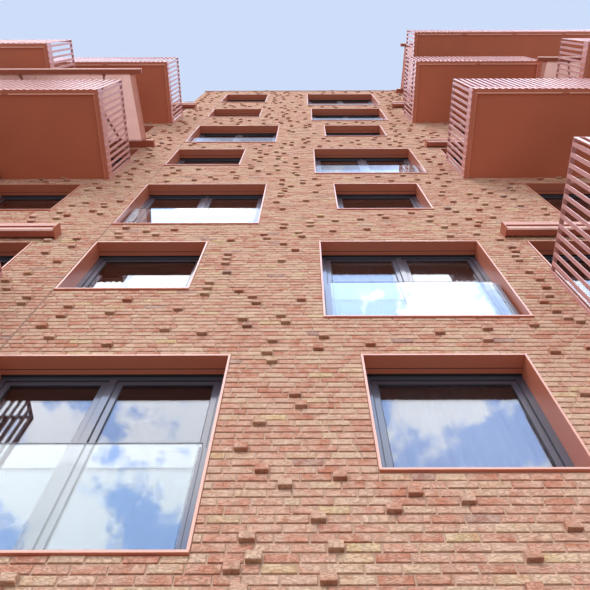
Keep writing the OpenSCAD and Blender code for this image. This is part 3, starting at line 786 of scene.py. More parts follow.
brick_models = {"worn": worn_brick(), "plain": plain_brick()}
for name, model in brick_models.items():
    print(f"a {name} brick has {len(model.data.polygons)} faces")

# %% How the courses are laid
proud = 0.009
stub_proud = 0.042
least_length = 0.030
least_height = 0.020
lining_gap = 0.003
stagger = 0.035
stub_spacing = (1.3, 2.6)
stub_stagger = 0.3
stub_clearance = 0.120
nearly_whole = 0.9
print(f"bricks stand {proud * 1000:.0f} mm and single headers {stub_proud * 1000:.0f} mm proud")


# %% Room for a course
Opening = namedtuple("Opening", "start end bottom top")


def free_stretches(start, end, bottom, top, openings):
    """Parts of a course that no opening takes, each as (start, end, bottom, top)."""
    near = [o for o in openings if o.bottom < top and o.top > bottom and o.start < end and o.end > start]
    cuts = {start, end}
    for opening in near:
        edges = opening.start - lining_gap, opening.end + lining_gap
        cuts |= {min(max(edge, start), end) for edge in edges}
    cuts = sorted(cuts)
    stretches = []
    for first, last in zip(cuts, cuts[1:]):
        low, high = bottom, top
        for opening in near:
            if opening.start < (first + last) / 2 < opening.end:
                if opening.bottom <= bottom:
                    low = max(low, opening.top + lining_gap)
                else:
                    high = min(high, opening.bottom - lining_gap)
        if last - first > least_length and high - low > least_height:
            stretches.append((first, last, low, high))
    return stretches


# %% Rules of the bond
def near_any(sorted_values, value, distance):
    """Whether a value lies within a distance of one in a sorted list."""
    index = bisect.bisect_left(sorted_values, value - distance)
    return index < len(sorted_values) and sorted_values[index] < value + distance


def meets_opening(start, low, high, openings):
    """Whether a header that stands out would be right over, under or beside an opening."""
    return any(o.start - stub_clearance < start + header and start < o.end + stub_clearance
               and o.bottom - stub_clearance < high and low < o.top + stub_clearance
               for o in openings)


# %% The mason
class Mason:
    """Lays courses of wild bond and remembers the joints and stubs of the course below."""

    def __init__(self, seed):
        self.chance = random.Random(seed)
        self.joints_below = []
        self.stubs_below = []

    def first_length(self, start):
        """A whole or cut brick at the start of a stretch, which shifts the rest of the course."""
        lengths = [share * stretcher for share in (0.25, 0.5, 0.75, 1.0)]
        self.chance.shuffle(lengths)
        free = [length for length in lengths if not near_any(self.joints_below, start + length, stagger)]
        return (free or lengths)[0]

    def next_length(self, start, left):
        """A stretcher, or a shorter brick where a stretcher's joint would meet the one below."""
        if left <= stretcher + joint:
            return left
        if left <= stretcher + joint + header:
            return (left - joint) / 2
        for length in (stretcher, header, (stretcher + header) / 2):
            if not near_any(self.joints_below, start + length, stagger):
                return length
        return stretcher

    def course(self, stretches, openings):
        """Bricks of one course, each as (start, end, bottom, top, whether it stands out)."""
        bricks, joints, stubs = [], [], []
        wanted_gap = self.chance.uniform(*stub_spacing)
        last_end = last_stub = -math.inf
        for first, last, low, high in stretches:
            if first - last_end > stretcher:
                last_stub = first - self.chance.uniform(0, stub_spacing[1])
            start = first
            if last - first > 2 * stretcher:
                cut_end = start + self.first_length(start)
                bricks.append((start, cut_end, low, high, False))
                joints.append(cut_end)
                start = cut_end + joint
            while last - start > least_length:
                stub = (
                    start - last_stub > wanted_gap and high - low > nearly_whole * brick_h
                    and start > first + header and last - start > 2 * header
                    and not near_any(self.stubs_below, start, stub_stagger)
                    and not meets_opening(start, low, high, openings)
                )
                length = header if stub else self.next_length(start, last - start)
                bricks.append((start, start + length, low, high, stub))
                if stub:
                    last_stub = start
                    wanted_gap = self.chance.uniform(*stub_spacing)
                    stubs.append(start)
                start += length + joint
                joints.append(start - joint)
            last_end = last
        self.joints_below, self.stubs_below = joints, stubs
        return bricks


# %% Laying a wall face
lean = math.radians(0.5)
out_of_plane = (-0.0025, 0.002)
out_of_level = 0.0015
shorter_by = 0.003
lowest_share = 0.97


def lay_face(name, model, origin, turn, spans, openings):
    """Bricks on an upright face. Origin is a point of the face, and turn its angle: 0 is the front.

    A span of brickwork is (start, end, bottom, top) along the face.
    """
    along = Vector((math.cos(turn), math.sin(turn), 0))
    out = Vector((math.sin(turn), -math.cos(turn), 0))
    mason = Mason(name)
    chance = mason.chance
    places = []
    for start, end, bottom, top in spans:
        first_course = round(bottom / course_h)
        for number in range(first_course, int((top + 0.001) / course_h)):
            low = number * course_h + joint / 2
            stretches = free_stretches(start, end, low, low + brick_h, openings)
            for a, b, z0, z1, stub in mason.course(stretches, openings):
                out_by = (stub_proud if stub else proud) + chance.uniform(*out_of_plane)
                middle = origin + along * ((a + b) / 2) + out * out_by
                middle.z = (z0 + z1) / 2 + chance.uniform(-out_of_level, out_of_level)
                length = b - a - chance.uniform(0, shorter_by)
                tilt = (chance.uniform(-lean, lean), chance.uniform(-lean, lean) / 2,
                        turn + chance.uniform(-lean, lean))
                size = (length / stretcher, 1, (z1 - z0) / brick_h * chance.uniform(lowest_share, 1.0))
                places.append((middle, tilt, size, chance.random()))
    keep(set_out(name, brick_models[model], places), brick)


def openings_along(linings, turn):
    """Openings with their places along a face, from the boxes of their linings."""
    along = Vector((math.cos(turn), math.sin(turn), 0))
    return [Opening(*sorted((low.dot(along), high.dot(along))), low.z, high.z) for low, high in linings]


# %% [markdown]
# ## Every face of brick
# The same function lays the front, the back, the top storey's side and both sides of the terrace wall.
# Long brickwork also needs an upright joint that lets it grow in the sun. Here it runs down the whole
# front, just beside the left windows. Its slot counts as an opening, so that no brick crosses it.

# %% Slot of the movement joint
movement_joint_w = 0.012
left_jambs = [low.x for low, high in front_linings]
column_jamb_x = max(set(left_jambs), key=lambda x: sum(abs(x - jamb) < 0.001 for jamb in left_jambs))
movement_joint_x = column_jamb_x - movement_joint_w
joint_x0, joint_x1 = movement_joint_x - movement_joint_w / 2, movement_joint_x + movement_joint_w / 2
wall_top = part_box("front_wall_7")[1].z
joint_slot = Opening(joint_x0, joint_x1, 0.0, wall_top)
print(f"the movement joint runs at X = {movement_joint_x:.3f} m")

# %% Bricks of the street front
front_turn, back_turn, left_turn, right_turn = 0.0, math.pi, -math.pi / 2, math.pi / 2
front_openings = openings_along(front_linings, front_turn) + [joint_slot]
for storey in range(8):
    low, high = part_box(f"front_wall_{storey}")
    model = "worn" if storey < worn_storeys else "plain"
    lay_face(f"bricks_front_{storey}", model, Vector((0, front_y, 0)), front_turn,
             [(low.x, high.x, low.z, high.z)], front_openings)

# %% Bricks of the back and of the top storey's side
back_openings = openings_along(back_linings, back_turn)
for pair in ("0_1", "2_3", "4_5", "6_7"):
    low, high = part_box(f"back_wall_{pair}")
    spans = [(-high.x, -low.x, low.z, min(high.z, terrace_z))]
    if high.z > terrace_z:
        spans.append((-high.x, -setback_x, terrace_z, high.z))
    lay_face(f"bricks_back_{pair}", "plain", Vector((0, back_y, 0)), back_turn, spans, back_openings)

setback_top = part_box("setback_wall")[1].z
lay_face("bricks_setback", "plain", Vector((setback_x, 0, 0)), left_turn,
         [(front_y, back_y, terrace_z, setback_top)], openings_along(terrace_linings, left_turn))

# %% Bricks of the terrace wall
low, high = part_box("terrace_parapet")
inner_left_x, inner_front_y, inner_back_y = left_x + wall_t, front_y + wall_t, back_y - wall_t
for name, x, y, turn, start, end in [
    ("parapet_front", 0, front_y, front_turn, low.x, high.x),
    ("parapet_back", 0, back_y, back_turn, -high.x, -low.x),
    ("parapet_side", left_x, 0, left_turn, front_y, back_y),
    ("terrace_front", 0, inner_front_y, back_turn, -setback_x, -inner_left_x),
    ("terrace_back", 0, inner_back_y, front_turn, inner_left_x, setback_x),
    ("terrace_side", inner_left_x, 0, right_turn, inner_front_y, inner_back_y),
]:
    lay_face(f"bricks_{name}", "plain", Vector((x, y, 0)), turn, [(start, end, low.z, high.z)], [])
for model in brick_models.values():
    throw_away(model)

# %% [markdown]
# ## Sealant in the movement joint
# A strip of soft sealant fills the slot that the bricks leave free. It lies a little behind their faces
# and is darker than they are, so it shows as a thin line.

# %% Strip of sealant
sealant_d = 0.005
sealant_strip = (joint_x0, front_y - sealant_d, 0.0), (joint_x1, front_y + sealant_d, wall_top)
keep(blocks("movement_joint", [sealant_strip], 0.002), sealant)

# %% [markdown]
# ## Trim of the openings
# An outside screen is rolled up in every head: a cover plate hides the roll, and the black strip in the
# joint before it is painted shadow. The screen's brush hangs in front of the window. Round every pane
# runs a black rubber gasket. A wider black strip lies where a sash meets its frame: it is the gasket and
# also painted shade in the gap there. A slim metal profile caps each glass balustrade. The entrance gets
# kick plates, a threshold and hinges. All of them are straight strips and blocks, so one list of boxes
# makes each kind.


# %% Which way an opening faces
def turned_box(face_y, side, x0, x1, near, far, z0, z1):
    """A box in front of or behind a wall face. Near and far are distances into the wall."""
    y0, y1 = sorted((face_y + side * near, face_y + side * far))
    return (x0, y0, z0), (x1, y1, z1)


street_side, yard_side = 1, -1
lining_t = 0.020
frame_in = solids("front_frames")[0][0].y - front_y
pane_in = solids("front_glass")[0][0].y - front_y
print(f"frames lie {frame_in * 1000:.0f} mm and panes {pane_in * 1000:.0f} mm behind the brick face")

# %% Cover plates, painted shadow joints and brushes of the screens
plate_in = 0.121
plate_t = 0.004
shadow_gap_w = 0.005
brush_d, brush_h = 0.022, 0.012
plate_boxes, brush_and_shadow_gap_boxes = [], []
for linings, face_y, side in [(front_linings, front_y, street_side), (back_linings, back_y, yard_side)]:
    for low, high in linings:
        x0, x1, z = low.x + lining_t, high.x - lining_t, high.z - lining_t
        plate_boxes.append(turned_box(face_y, side, x0, x1, plate_in + shadow_gap_w, frame_in - brush_d,
                                      z - plate_t, z))
        # The first strip is black rubber in the joint before the cover plate, a painted shadow; the
        # second is the screen's brush.
        for near, far, height in [(plate_in, plate_in + shadow_gap_w, plate_t),
                                  (frame_in - brush_d, frame_in, brush_h)]:
            brush_and_shadow_gap_boxes.append(turned_box(face_y, side, x0, x1, near, far, z - height, z))
keep(blocks("screen_covers", plate_boxes, 0), lining_coat)
keep(blocks("screen_brushes", brush_and_shadow_gap_boxes, 0), rubber)


# %% Gaskets round the panes and the sashes
def strips_round(low, high, width, y0, y1):
    """Four strips of one width just inside the edges of an upright box, between two depths."""
    return [
        ((low.x, y0, low.z), (high.x, y1, low.z + width)),
        ((low.x, y0, high.z - width), (high.x, y1, high.z)),
        ((low.x, y0, low.z + width), (low.x + width, y1, high.z - width)),
        ((high.x - width, y0, low.z + width), (high.x, y1, high.z - width)),
    ]


gasket_w, gasket_t = 0.007, 0.004
rebate_w, rebate_t = 0.008, 0.005
sash_face, sash_step = 0.060, 0.012
to_sash_edge = Vector((sash_face, 0, sash_face))
door_low, door_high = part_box("entrance_door")
gasket_boxes = []
street_panes = [box for box in solids("front_glass") if box[0].y < front_y + wall_t]
yard_panes = solids("back_glass")
for panes, face_y, side in [(street_panes, front_y, street_side), (yard_panes, back_y, yard_side)]:
    for low, high in panes:
        near = face_y + side * pane_in
        gasket_boxes += strips_round(low, high, gasket_w, *sorted((near, near - side * gasket_t)))
        in_door = door_low.x < low.x < door_high.x and low.z < door_high.z and side == street_side
        if not in_door:  # the door's sashes have no second gasket
            # The strip round a sash is its gasket and also painted shade in the gap between sash and
            # frame.
            sash = face_y + side * (frame_in + sash_step)
            gasket_boxes += strips_round(low - to_sash_edge, high + to_sash_edge, rebate_w,
                                         *sorted((sash, sash - side * rebate_t)))
keep(blocks("glazing_gaskets", gasket_boxes, 0), rubber)

# %% Profiles on the glass balustrades
lip_t, lip_h, crown_t = 0.0015, 0.005, 0.002
profile_boxes = []
for low, high in solids("glass_balustrades"):
    y0, y1 = low.y - lip_t, high.y + lip_t
    profile_boxes.append(((low.x, y0, high.z), (high.x, y1, high.z + crown_t)))
    for y in (y0, high.y):
        profile_boxes.append(((low.x, y, high.z - lip_h), (high.x, y + lip_t, high.z)))
keep(blocks("balustrade_profiles", profile_boxes, 0), frame_coat)

# %% Kick plates, threshold and hinges of the entrance
plate_edge, kick_h, kick_t = 0.012, 0.080, 0.0015
threshold_d, threshold_h = 0.045, 0.008
hinge_w, hinge_h, hinge_d = 0.018, 0.11, 0.018
hinge_heights = (0.25, 1.1, 1.95)
highest_pane_foot = 0.2
leaf_panes = sorted([box for box in street_panes if box[0].z < door_low.z + highest_pane_foot
                     and door_low.x < box[0].x < door_high.x], key=lambda box: box[0].x)
leaf_rail = leaf_panes[0][0].z - door_low.z
frame_y = front_y + frame_in
leaf_y = frame_y + sash_step
threshold = ((door_low.x, frame_y - threshold_d, door_low.z),
             (door_high.x, frame_y, door_low.z + threshold_h))
fittings = [threshold]
for low, high in leaf_panes:
    plate_z = low.z - leaf_rail + plate_edge
    fittings.append(((low.x - leaf_rail + plate_edge, leaf_y - kick_t, plate_z),
                     (high.x + leaf_rail - plate_edge, leaf_y, plate_z + kick_h)))
for low, high in leaf_panes[:2]:
    hinge_x = low.x - leaf_rail if low is leaf_panes[0][0] else high.x + leaf_rail
    for height in hinge_heights:
        fittings.append(((hinge_x - hinge_w / 2, leaf_y - hinge_d, door_low.z + height),
                         (hinge_x + hinge_w / 2, leaf_y, door_low.z + height + hinge_h)))
keep(blocks("entrance_fittings", fittings, 0.001), stainless)

# %% [markdown]
# ## Drip strips
# Rain that runs over a balcony's edge is thrown off by a small angle under the flange. Its outer side
# slants, so it catches the light from the street as a bright thin line, and a painted highlight makes
# that side paler still. It comes in lengths with a gap between them. The strip is one block whose outer
# lower edge is pulled inwards, and it is laid along the front and both ends of every balcony.

# %% Drip strips
flange_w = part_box("balcony_soffits")[0].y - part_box("balcony_channels")[0].y
drip_w, drip_h, drip_slant = 0.024, 0.014, 0.016
drip_length, drip_gap = 1.45, 0.12


def drip_model():
    """A strip of one metre, with its slanted side towards -Y and its top at Z = 0."""
    model = new_block("drip_model", (-0.5, 0, -drip_h), (0.5, drip_w, 0))
    open_edit(model, "points", lambda point: point.co.y < drip_w / 2 and point.co.z < -drip_h / 2)
    bpy.ops.transform.translate(value=(0, drip_slant, 0))
    end_edit()
    return model


def lengths_along(start, end):
    """Middles and lengths of equal strips with a gap between them."""
    count = max(1, round((end - start) / (drip_length + drip_gap)))
    length = (end - start - (count - 1) * drip_gap) / count
    return [(start + length / 2 + i * (length + drip_gap), length) for i in range(count)]


model = drip_model()
drip_places = []
for low, high in balconies:
    inset = flange_w - drip_w
    for x, length in lengths_along(low.x + inset, high.x - inset):
        drip_places.append(((x, low.y + inset, low.z), (0, 0, 0), (length, 1, 1), 0))
    for y, length in lengths_along(low.y + flange_w, front_y):
        for x, turn in [(low.x + inset, -math.pi / 2), (high.x - inset, math.pi / 2)]:
            drip_places.append(((x, y, low.z), (0, 0, turn), (length, 1, 1), 0))
keep(set_out("drip_strips", model, drip_places), drip_coat)
throw_away(model)

# %% [markdown]
# ## Bolts
# Every railing bar is fixed to the steel channel with two bolts, and the channel's lower flange has a
# row of them at either end. A bolt is a six-sided cylinder whose outer end is inset and drawn out, which
# gives a head with fourteen faces. The bars are found in the frame: their feet are the lowest points of
# the railing.


# %% Bolt model
def bolt_model(radius, height):
    """A head that stands on the XY plane and points up."""
    crown_share = 0.3
    clear_selection()
    bpy.ops.mesh.primitive_cylinder_add(vertices=6, radius=radius, depth=height,
                                        location=(0, 0, height / 2))
    model = bpy.context.object
    bpy.ops.object.transform_apply(location=True, rotation=True, scale=True)
    open_edit(model, "faces", lambda face: face.normal.z > 0.9)
    bpy.ops.mesh.inset(thickness=radius * crown_share, depth=height * crown_share)
    end_edit()
    return model


# %% Bolts of the railing bars
def bar_middles(name, low, high, axis):
    """Middles of the bars of one railing along an axis, from the lowest points of their feet."""
    near = 0.001
    inside = [v.co for v in nodes[name].data.vertices
              if abs(v.co.z - low.z) < near and low.x - near < v.co.x < high.x + near
              and low.y - near < v.co.y < high.y + near]
    edges = sorted({round(place[axis], 4) for place in inside})
    return [(a + b) / 2 for a, b in zip(edges[::2], edges[1::2])]


rail_bolt_heights = (0.055, 0.195)
bar_t = 0.012
left_edges = [low.x for low, high in balconies]
bolt_places = []
for low, high in solids("railing_fronts"):
    for x in bar_middles("railing_fronts", low, high, 0):
        for height in rail_bolt_heights:
            bolt_places.append(((x, low.y, low.z + height), (math.pi / 2, 0, 0), (1, 1, 1), 0))
for low, high in solids("railing_ends"):
    outwards = -1 if any(abs(low.x + bar_t - edge) < bar_t / 6 for edge in left_edges) else 1
    x = low.x if outwards < 0 else high.x
    for y in bar_middles("railing_ends", low, high, 1):
        for height in rail_bolt_heights:
            bolt_places.append(((x, y, low.z + height), (0, outwards * math.pi / 2, 0), (1, 1, 1), 0))
model = bolt_model(radius=0.0075, height=0.005)
keep(set_out("railing_bolts", model, bolt_places), railing_coat)
throw_away(model)
print("bars:", len(bolt_places) // len(rail_bolt_heights))

# %% Bolts of the flanges
flange_bolt_pitch, first_bolt = 0.3, 0.12
bolt_in = 0.030
bolt_places = []
for low, high in balconies:
    for x in (low.x + bolt_in, high.x - bolt_in):
        for i in range(int((front_y - low.y) / flange_bolt_pitch)):
            y = low.y + first_bolt + i * flange_bolt_pitch
            bolt_places.append(((x, y, low.z), (math.pi, 0, 0), (1, 1, 1), 0))
model = bolt_model(radius=0.010, height=0.007)
keep(set_out("flange_bolts", model, bolt_places), steel_coat)
throw_away(model)

# %% [markdown]
# ## Decks
# Every balcony has a deck of oiled boards that run along the front, with open joints for the rain and
# with their edges taken off. The boards lie on the steel and stop just short of the bricks.

# %% Deck boards
board_w, board_gap, board_t, board_edge = 0.140, 0.006, 0.022, 0.004
deck_margin, gap_to_wall = 0.020, 0.010
board_boxes = []
for low, high in balconies:
    y = low.y + deck_margin
    while y + board_w < front_y - gap_to_wall:
        board_boxes.append(((low.x + deck_margin, y, high.z),
                            (high.x - deck_margin, y + board_w, high.z + board_t)))
        y += board_w + board_gap
keep(blocks("deck_boards", board_boxes, board_edge), deck_wood)

# %% [markdown]
# ## Awning cloths
# Three awnings are half out. Each cloth is a woven sheet of 2.98 m, sewn from three panels with a
# darker band along both sides, that runs from the roller in the cassette to the front bar. It is held
# taut, so it sags by a centimetre only. A grid is the start, a formula gives each of its points its
# place, and Solidify gives it a thickness. The grid's own UV map is set to metres of cloth, so that
# weave, seams and bands keep their real size.


# %% A grid that a formula shapes
def cloth_grid(name, columns, rows, place):
    """A sheet whose points lie at place(across, along), where both run from 0 to 1."""
    clear_selection()
    bpy.ops.mesh.primitive_grid_add(x_subdivisions=columns, y_subdivisions=rows, size=1)
    piece = bpy.context.object
    piece.name = name
    for point in piece.data.vertices:
        point.co = place(point.co.x + 0.5, point.co.y + 0.5)
    bpy.ops.object.shade_smooth()
    return piece


def name_cloth_map(piece, width, length):
    """Names the UV map of a sheet and gives it in metres of flat cloth."""
    layer = piece.data.uv_layers[0]
    layer.name = "cloth"
    for corner in layer.data:
        corner.uv = (corner.uv.x * width, corner.uv.y * length)


def thicken(piece, thickness):
    solid = piece.modifiers.new("thickness", "SOLIDIFY")
    solid.thickness = thickness
    solid.offset = 0
    select_only(piece)
    bpy.ops.object.modifier_apply(modifier="thickness")


# %% Cloth materials
seam_from_middle, seam_w, seam_shade = 0.5685, 0.022, 0.72
band_w, band_colour = 0.110, paint(158, 98, 80)


def cloth_material(name, colour, threads, alpha, scatter, seamed_width=None):
    """Woven cloth that lets light through. A sewn one also has a darker band along both sides."""
    material, tree, shader = new_material(name)
    weave = put_group(tree, "weave", Threads=threads)["Height"]
    grain = put_group(tree, "grain", Density=60.0)
    body = blend_colours(tree, grain["Mottle"], dimmed(colour, 0.9), colour)
    height = weave
    if seamed_width:
        middle = seamed_width / 2
        place = put(tree, "SeparateXYZ", Vector=put(tree, "UVMap", {"uv_map": "cloth"}).outputs["UV"])
        from_middle = maths(tree, "ABSOLUTE", maths(tree, "SUBTRACT", place.outputs["X"], middle))
        from_seam = maths(tree, "ABSOLUTE", maths(tree, "SUBTRACT", from_middle, seam_from_middle))
        seam = maths(tree, "LESS_THAN", from_seam, seam_w / 2)
        body = blend_colours(tree, seam, body, dimmed(colour, seam_shade))
        band = maths(tree, "GREATER_THAN", from_middle, middle - band_w)
        body = blend_colours(tree, band, body, band_colour)
        height = maths(tree, "ADD", maths(tree, "MULTIPLY", weave, 0.4), seam)
    feed(tree, shader, Base_Color=body, Roughness=stretched(tree, 0.0, 1.0, grain["Mottle"], 0.75, 0.9))
    feed(tree, shader, Subsurface_Weight=scatter, Subsurface_Scale=0.01, Sheen_Weight=0.15,
         Subsurface_Radius=(1.0, 0.9, 0.9))
    if alpha < 1:
        feed(tree, shader, Alpha=stretched(tree, 0.0, 1.0, weave, alpha, 1.0))
    bump(tree, shader, height, 0.0006)
    return material


# %% Cloth of each open awning
cloth_sag, cloth_thickness = 0.010, 0.0015
half_solid = 0.003
cloths = solids("awning_cloths")
cloth_w = cloths[0][1].x - cloths[0][0].x
awning_weave = cloth_material("awning_weave", paint(228, 180, 176), threads=450.0, alpha=1, scatter=1.0,
                              seamed_width=cloth_w)
for number, (low, high) in enumerate(cloths, 1):
    back = Vector((low.x, high.y, high.z - half_solid))
    front = Vector((low.x, low.y, low.z + half_solid))
    width, length = high.x - low.x, (back - front).length

    def on_cloth(across, along):
        place = front.lerp(back, along)
        sag = cloth_sag * 4 * along * (1 - along)
        return place + Vector((across * width, 0, -sag))

    piece = cloth_grid(f"awning_cloth_{number}", columns=48, rows=24, place=on_cloth)
    name_cloth_map(piece, width, length)
    thicken(piece, cloth_thickness)
    keep(piece, awning_weave)
    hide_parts("awning_cloths")
    print(f"cloth {number}: {width:.2f} x {length:.3f} m")

# %% [markdown]
# ## Curtains
# Two windows have a sheer curtain behind the glass, drawn all the way and hung from the ceiling. It
# falls in folds that are even at the heading and wander a little further down. A wave across the sheet
# makes the folds, and its length along the wave is the flat width of the cloth.

# %% Folds of the voile
fold_w, fold_depth = 0.118, 0.019
columns_in_fold = 12
voile_thickness = 0.0006
voile = cloth_material("curtain_voile", paint(244, 244, 244), threads=700.0, alpha=0.85, scatter=0.8)


def fold_wave(across, down, folds, wander):
    """Depth of the curtain at a place, from -1 to 1. Wander shifts the folds further down."""
    least_swell, depth_at_heading, sideways = 0.72, 0.8, 0.22
    phase = across * folds + down * sideways * math.sin(across * folds * 0.9 + wander)
    swell = least_swell + (1 - least_swell) * math.sin(across * folds * 1.7 + wander * 2)
    deepening = depth_at_heading + (1 - depth_at_heading) * down
    return math.sin(phase * 2 * math.pi) * deepening * swell


# %% Curtain sheets
for number, (low, high) in enumerate(solids("curtains"), 1):
    width, drop = high.x - low.x, high.z - low.z
    folds = round(width / fold_w)
    middle_y = (low.y + high.y) / 2

    def on_curtain(across, along):
        depth = fold_depth * fold_wave(across, 1 - along, folds, number)
        return Vector((low.x + across * width, middle_y + depth, low.z + along * drop))

    columns = folds * columns_in_fold
    piece = cloth_grid(f"curtain_{number}", columns, rows=16, place=on_curtain)
    row = [on_curtain(i / columns, 0.5) for i in range(columns + 1)]
    flat_width = sum((b - a).length for a, b in zip(row, row[1:]))
    name_cloth_map(piece, flat_width, drop)
    thicken(piece, voile_thickness)
    keep(piece, voile)
    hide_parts("curtains")
    storey = min(range(1, 8), key=lambda slab: abs(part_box(f"floor_slab_{slab}")[0].z - high.z))
    print(f"curtain {number}: {flat_width:.2f} x {drop:.2f} m, hangs from floor_slab_{storey}")

# %% [markdown]
# ## Roof, terrace and copings
# The roof is covered with strips of membrane, one metre wide, whose edges lap, and which turn up along
# the walls. The terrace has stone pavers with open joints. The copings are folded sheets that meet in a
# joint about every two and a half metres, and a cover strip lies over each joint.

# %% Roof membrane
strip_w, lap, membrane_t = 1.0, 0.08, 0.004
upstand_h = 0.25
roof_low, roof_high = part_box("roof_slab")
membrane_boxes = []
x = roof_low.x
while x < roof_high.x - lap:
    z = roof_high.z + len(membrane_boxes) % 2 * membrane_t
    end = min(x + strip_w, roof_high.x)
    membrane_boxes.append(((x, roof_low.y, z), (end, roof_high.y, z + membrane_t)))
    x += strip_w - lap
upstand_t = 2 * membrane_t
z0, z1 = roof_high.z, roof_high.z + upstand_h
for y0, y1 in [(roof_low.y, roof_low.y + upstand_t), (roof_high.y - upstand_t, roof_high.y)]:
    membrane_boxes.append(((roof_low.x, y0, z0), (roof_high.x, y1, z1)))
for x0, x1 in [(roof_low.x, roof_low.x + upstand_t), (roof_high.x - upstand_t, roof_high.x)]:
    membrane_boxes.append(((x0, roof_low.y, z0), (x1, roof_high.y, z1)))
keep(blocks("roof_membrane", membrane_boxes, 0), membrane)

# %% Terrace pavers
paver, paver_joint, paver_t = 0.500, 0.004, 0.040
paver_step = paver + paver_joint
terrace_low = Vector((inner_left_x, inner_front_y, terrace_z))
terrace_high = Vector((setback_x, inner_back_y, terrace_z))
columns = int((terrace_high.x - terrace_low.x) / paver_step)
rows = int((terrace_high.y - terrace_low.y) / paver_step)
start_x = (terrace_low.x + terrace_high.x - columns * paver_step) / 2
start_y = (terrace_low.y + terrace_high.y - rows * paver_step) / 2
paver_boxes = []
for i in range(columns):
    for j in range(rows):
        x, y = start_x + i * paver_step, start_y + j * paver_step
        paver_boxes.append(((x, y, terrace_z), (x + paver, y + paver, terrace_z + paver_t)))
keep(blocks("terrace_pavers", paver_boxes, 0.003), paver_stone)
print(f"{columns} x {rows} pavers")

# %% Cover strips of the copings
cover_w, sheet_t, coping_joint_pitch = 0.060, 0.002, 2.5


def joints_between(start, end):
    """Places of the joints on a stretch, at equal distances."""
    count = round((end - start) / coping_joint_pitch)
    return [start + (end - start) * i / count for i in range(1, count)]


strip_boxes = []
for low, high in solids("copings"):
    coping_d = wall_t + 2 * (front_y - low.y)
    for x in joints_between(low.x, high.x):
        for y0, y1 in [(low.y, low.y + coping_d), (high.y - coping_d, high.y)]:
            strip_boxes.append(((x - cover_w / 2, y0 - sheet_t, low.z),
                                (x + cover_w / 2, y1 + sheet_t, high.z + sheet_t)))
    outer_sides = [(low.x, low.x + coping_d)]
    if high.x > right_x:
        outer_sides.append((high.x - coping_d, high.x))
    for y in joints_between(low.y, high.y):
        for x0, x1 in outer_sides:
            strip_boxes.append(((x0 - sheet_t, y - cover_w / 2, low.z),
                                (x1 + sheet_t, y + cover_w / 2, high.z + sheet_t)))
keep(blocks("coping_cover_strips", strip_boxes, 0), coping_coat)

# %% [markdown]
# ## Light, floor and sky
# A pale floor and an even white sky light the block softly, and one wide sun gives the fronts their
# direction. The camera sees the sky as a plain pale blue. Reflections see clouds that are brighter low
# over the street, where the sun stands, than straight above, so glass and glossy paint shine as they do
# under a bright sky. Neither lights the bricks, because the Light Path node gives other rays a neutral
# white, which is only stronger for light that comes in through a window.

# %% Colours and levels of the sky
seen_sky = paint(206, 222, 250)
mirrored_top = paint(196, 212, 242)
blue_gap, white_cloud = (0.42, 0.55, 0.86, 1.0), (1.0, 0.98, 0.98, 1.0)
street_glare = 5.0
even_light = (1.0, 0.98, 0.96, 1.0)
light_into_rooms = (2.4, 2.4, 2.5, 1.0)
cloud_shift = (0.1, 0.3, 0.2)
cloud_density, cloud_fray = 6.0, 0.6
print(f"clouds over the street are {street_glare:.0f} times as bright as white")


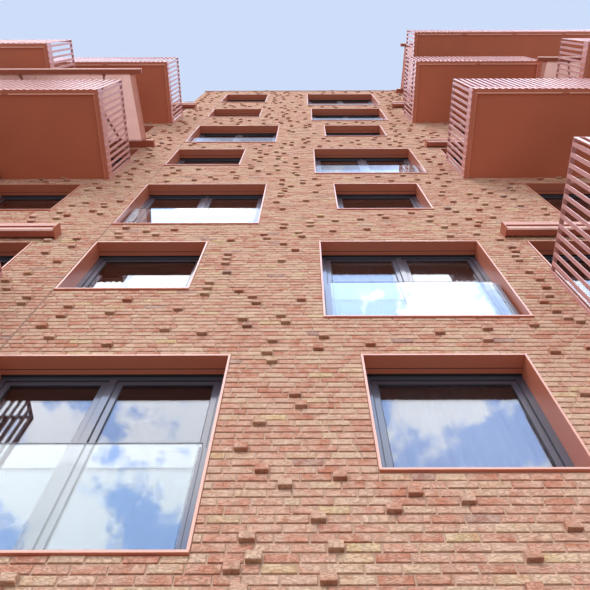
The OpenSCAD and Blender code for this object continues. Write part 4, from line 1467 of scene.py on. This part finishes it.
# %% Sky
def mirrored_sky(tree):
    """What glass and gloss see: clouds low over the street, and a plain sky above and behind."""
    place = put(tree, "TexCoord").outputs["Generated"]
    shifted = put(tree, "Mapping", Vector=place, Location=cloud_shift).outputs["Vector"]
    clouds = put(tree, "TexNoise", Vector=shifted, Scale=cloud_density, Detail=10.0,
                 Roughness=cloud_fray).outputs["Fac"]
    bright = blend_colours(tree, stretched(tree, 0.47, 0.53, clouds), dimmed(blue_gap, street_glare),
                           dimmed(white_cloud, street_glare))
    direction = put(tree, "SeparateXYZ", Vector=place)
    over_street = stretched(tree, 0.5, 0.0, direction.outputs["Y"])
    below_the_top = stretched(tree, 0.975, 0.95, direction.outputs["Z"])
    return blend_colours(tree, maths(tree, "MULTIPLY", over_street, below_the_top), mirrored_top, bright)


def plain_sky():
    """A world that shows each kind of ray the sky that is meant for it."""
    world = bpy.data.worlds.new("plain_sky")
    world.use_nodes = True
    tree = world.node_tree
    ray = put(tree, "LightPath")
    through_glass = ray.outputs["Is Transmission Ray"]
    light = blend_colours(tree, through_glass, even_light, light_into_rooms)
    in_a_mirror = maths(tree, "MAXIMUM", ray.outputs["Is Glossy Ray"], through_glass)
    not_scattered = maths(tree, "LESS_THAN", ray.outputs["Diffuse Depth"], 0.5)
    sees_mirror = maths(tree, "MULTIPLY", in_a_mirror, not_scattered)
    colour = blend_colours(tree, sees_mirror, light, mirrored_sky(tree))
    colour = blend_colours(tree, ray.outputs["Is Camera Ray"], colour, seen_sky)
    feed(tree, tree.nodes["Background"], Color=colour, Strength=1.0)
    return world


bpy.context.scene.world = plain_sky()
print("sky nodes:", len(bpy.context.scene.world.node_tree.nodes))

# %% Floor
floor_size = 600
clear_selection()
bpy.ops.mesh.primitive_plane_add(size=floor_size, location=(0, 0, 0))
floor = bpy.context.object
floor.name = "floor"
floor_finish = coated("pale_floor", paint(184, 182, 178), change=0.98, rough=(0.8, 0.9), streaks=0.0,
                      dust=0.0)
give(floor, floor_finish)
floor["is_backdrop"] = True
print(f"floor of {floor_size} x {floor_size} m")

# %% Sun
sun_from_zenith, sun_turn = math.radians(48), math.radians(-22)
bpy.ops.object.light_add(type="SUN", rotation=(sun_from_zenith, 0, sun_turn))
sun = bpy.context.object
sun.data.energy = 1.4
sun.data.angle = math.radians(25)
sun.visible_glossy = False
sun.visible_transmission = False
print(f"the sun stands {90 - math.degrees(sun_from_zenith):.0f} degrees above the horizon")

# %% [markdown]
# ## The table of pieces
# The added triangles are counted, and the box of the dressed block is measured.

# %% Finish
print("added triangles:", sum(added_triangles.values()))
low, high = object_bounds()
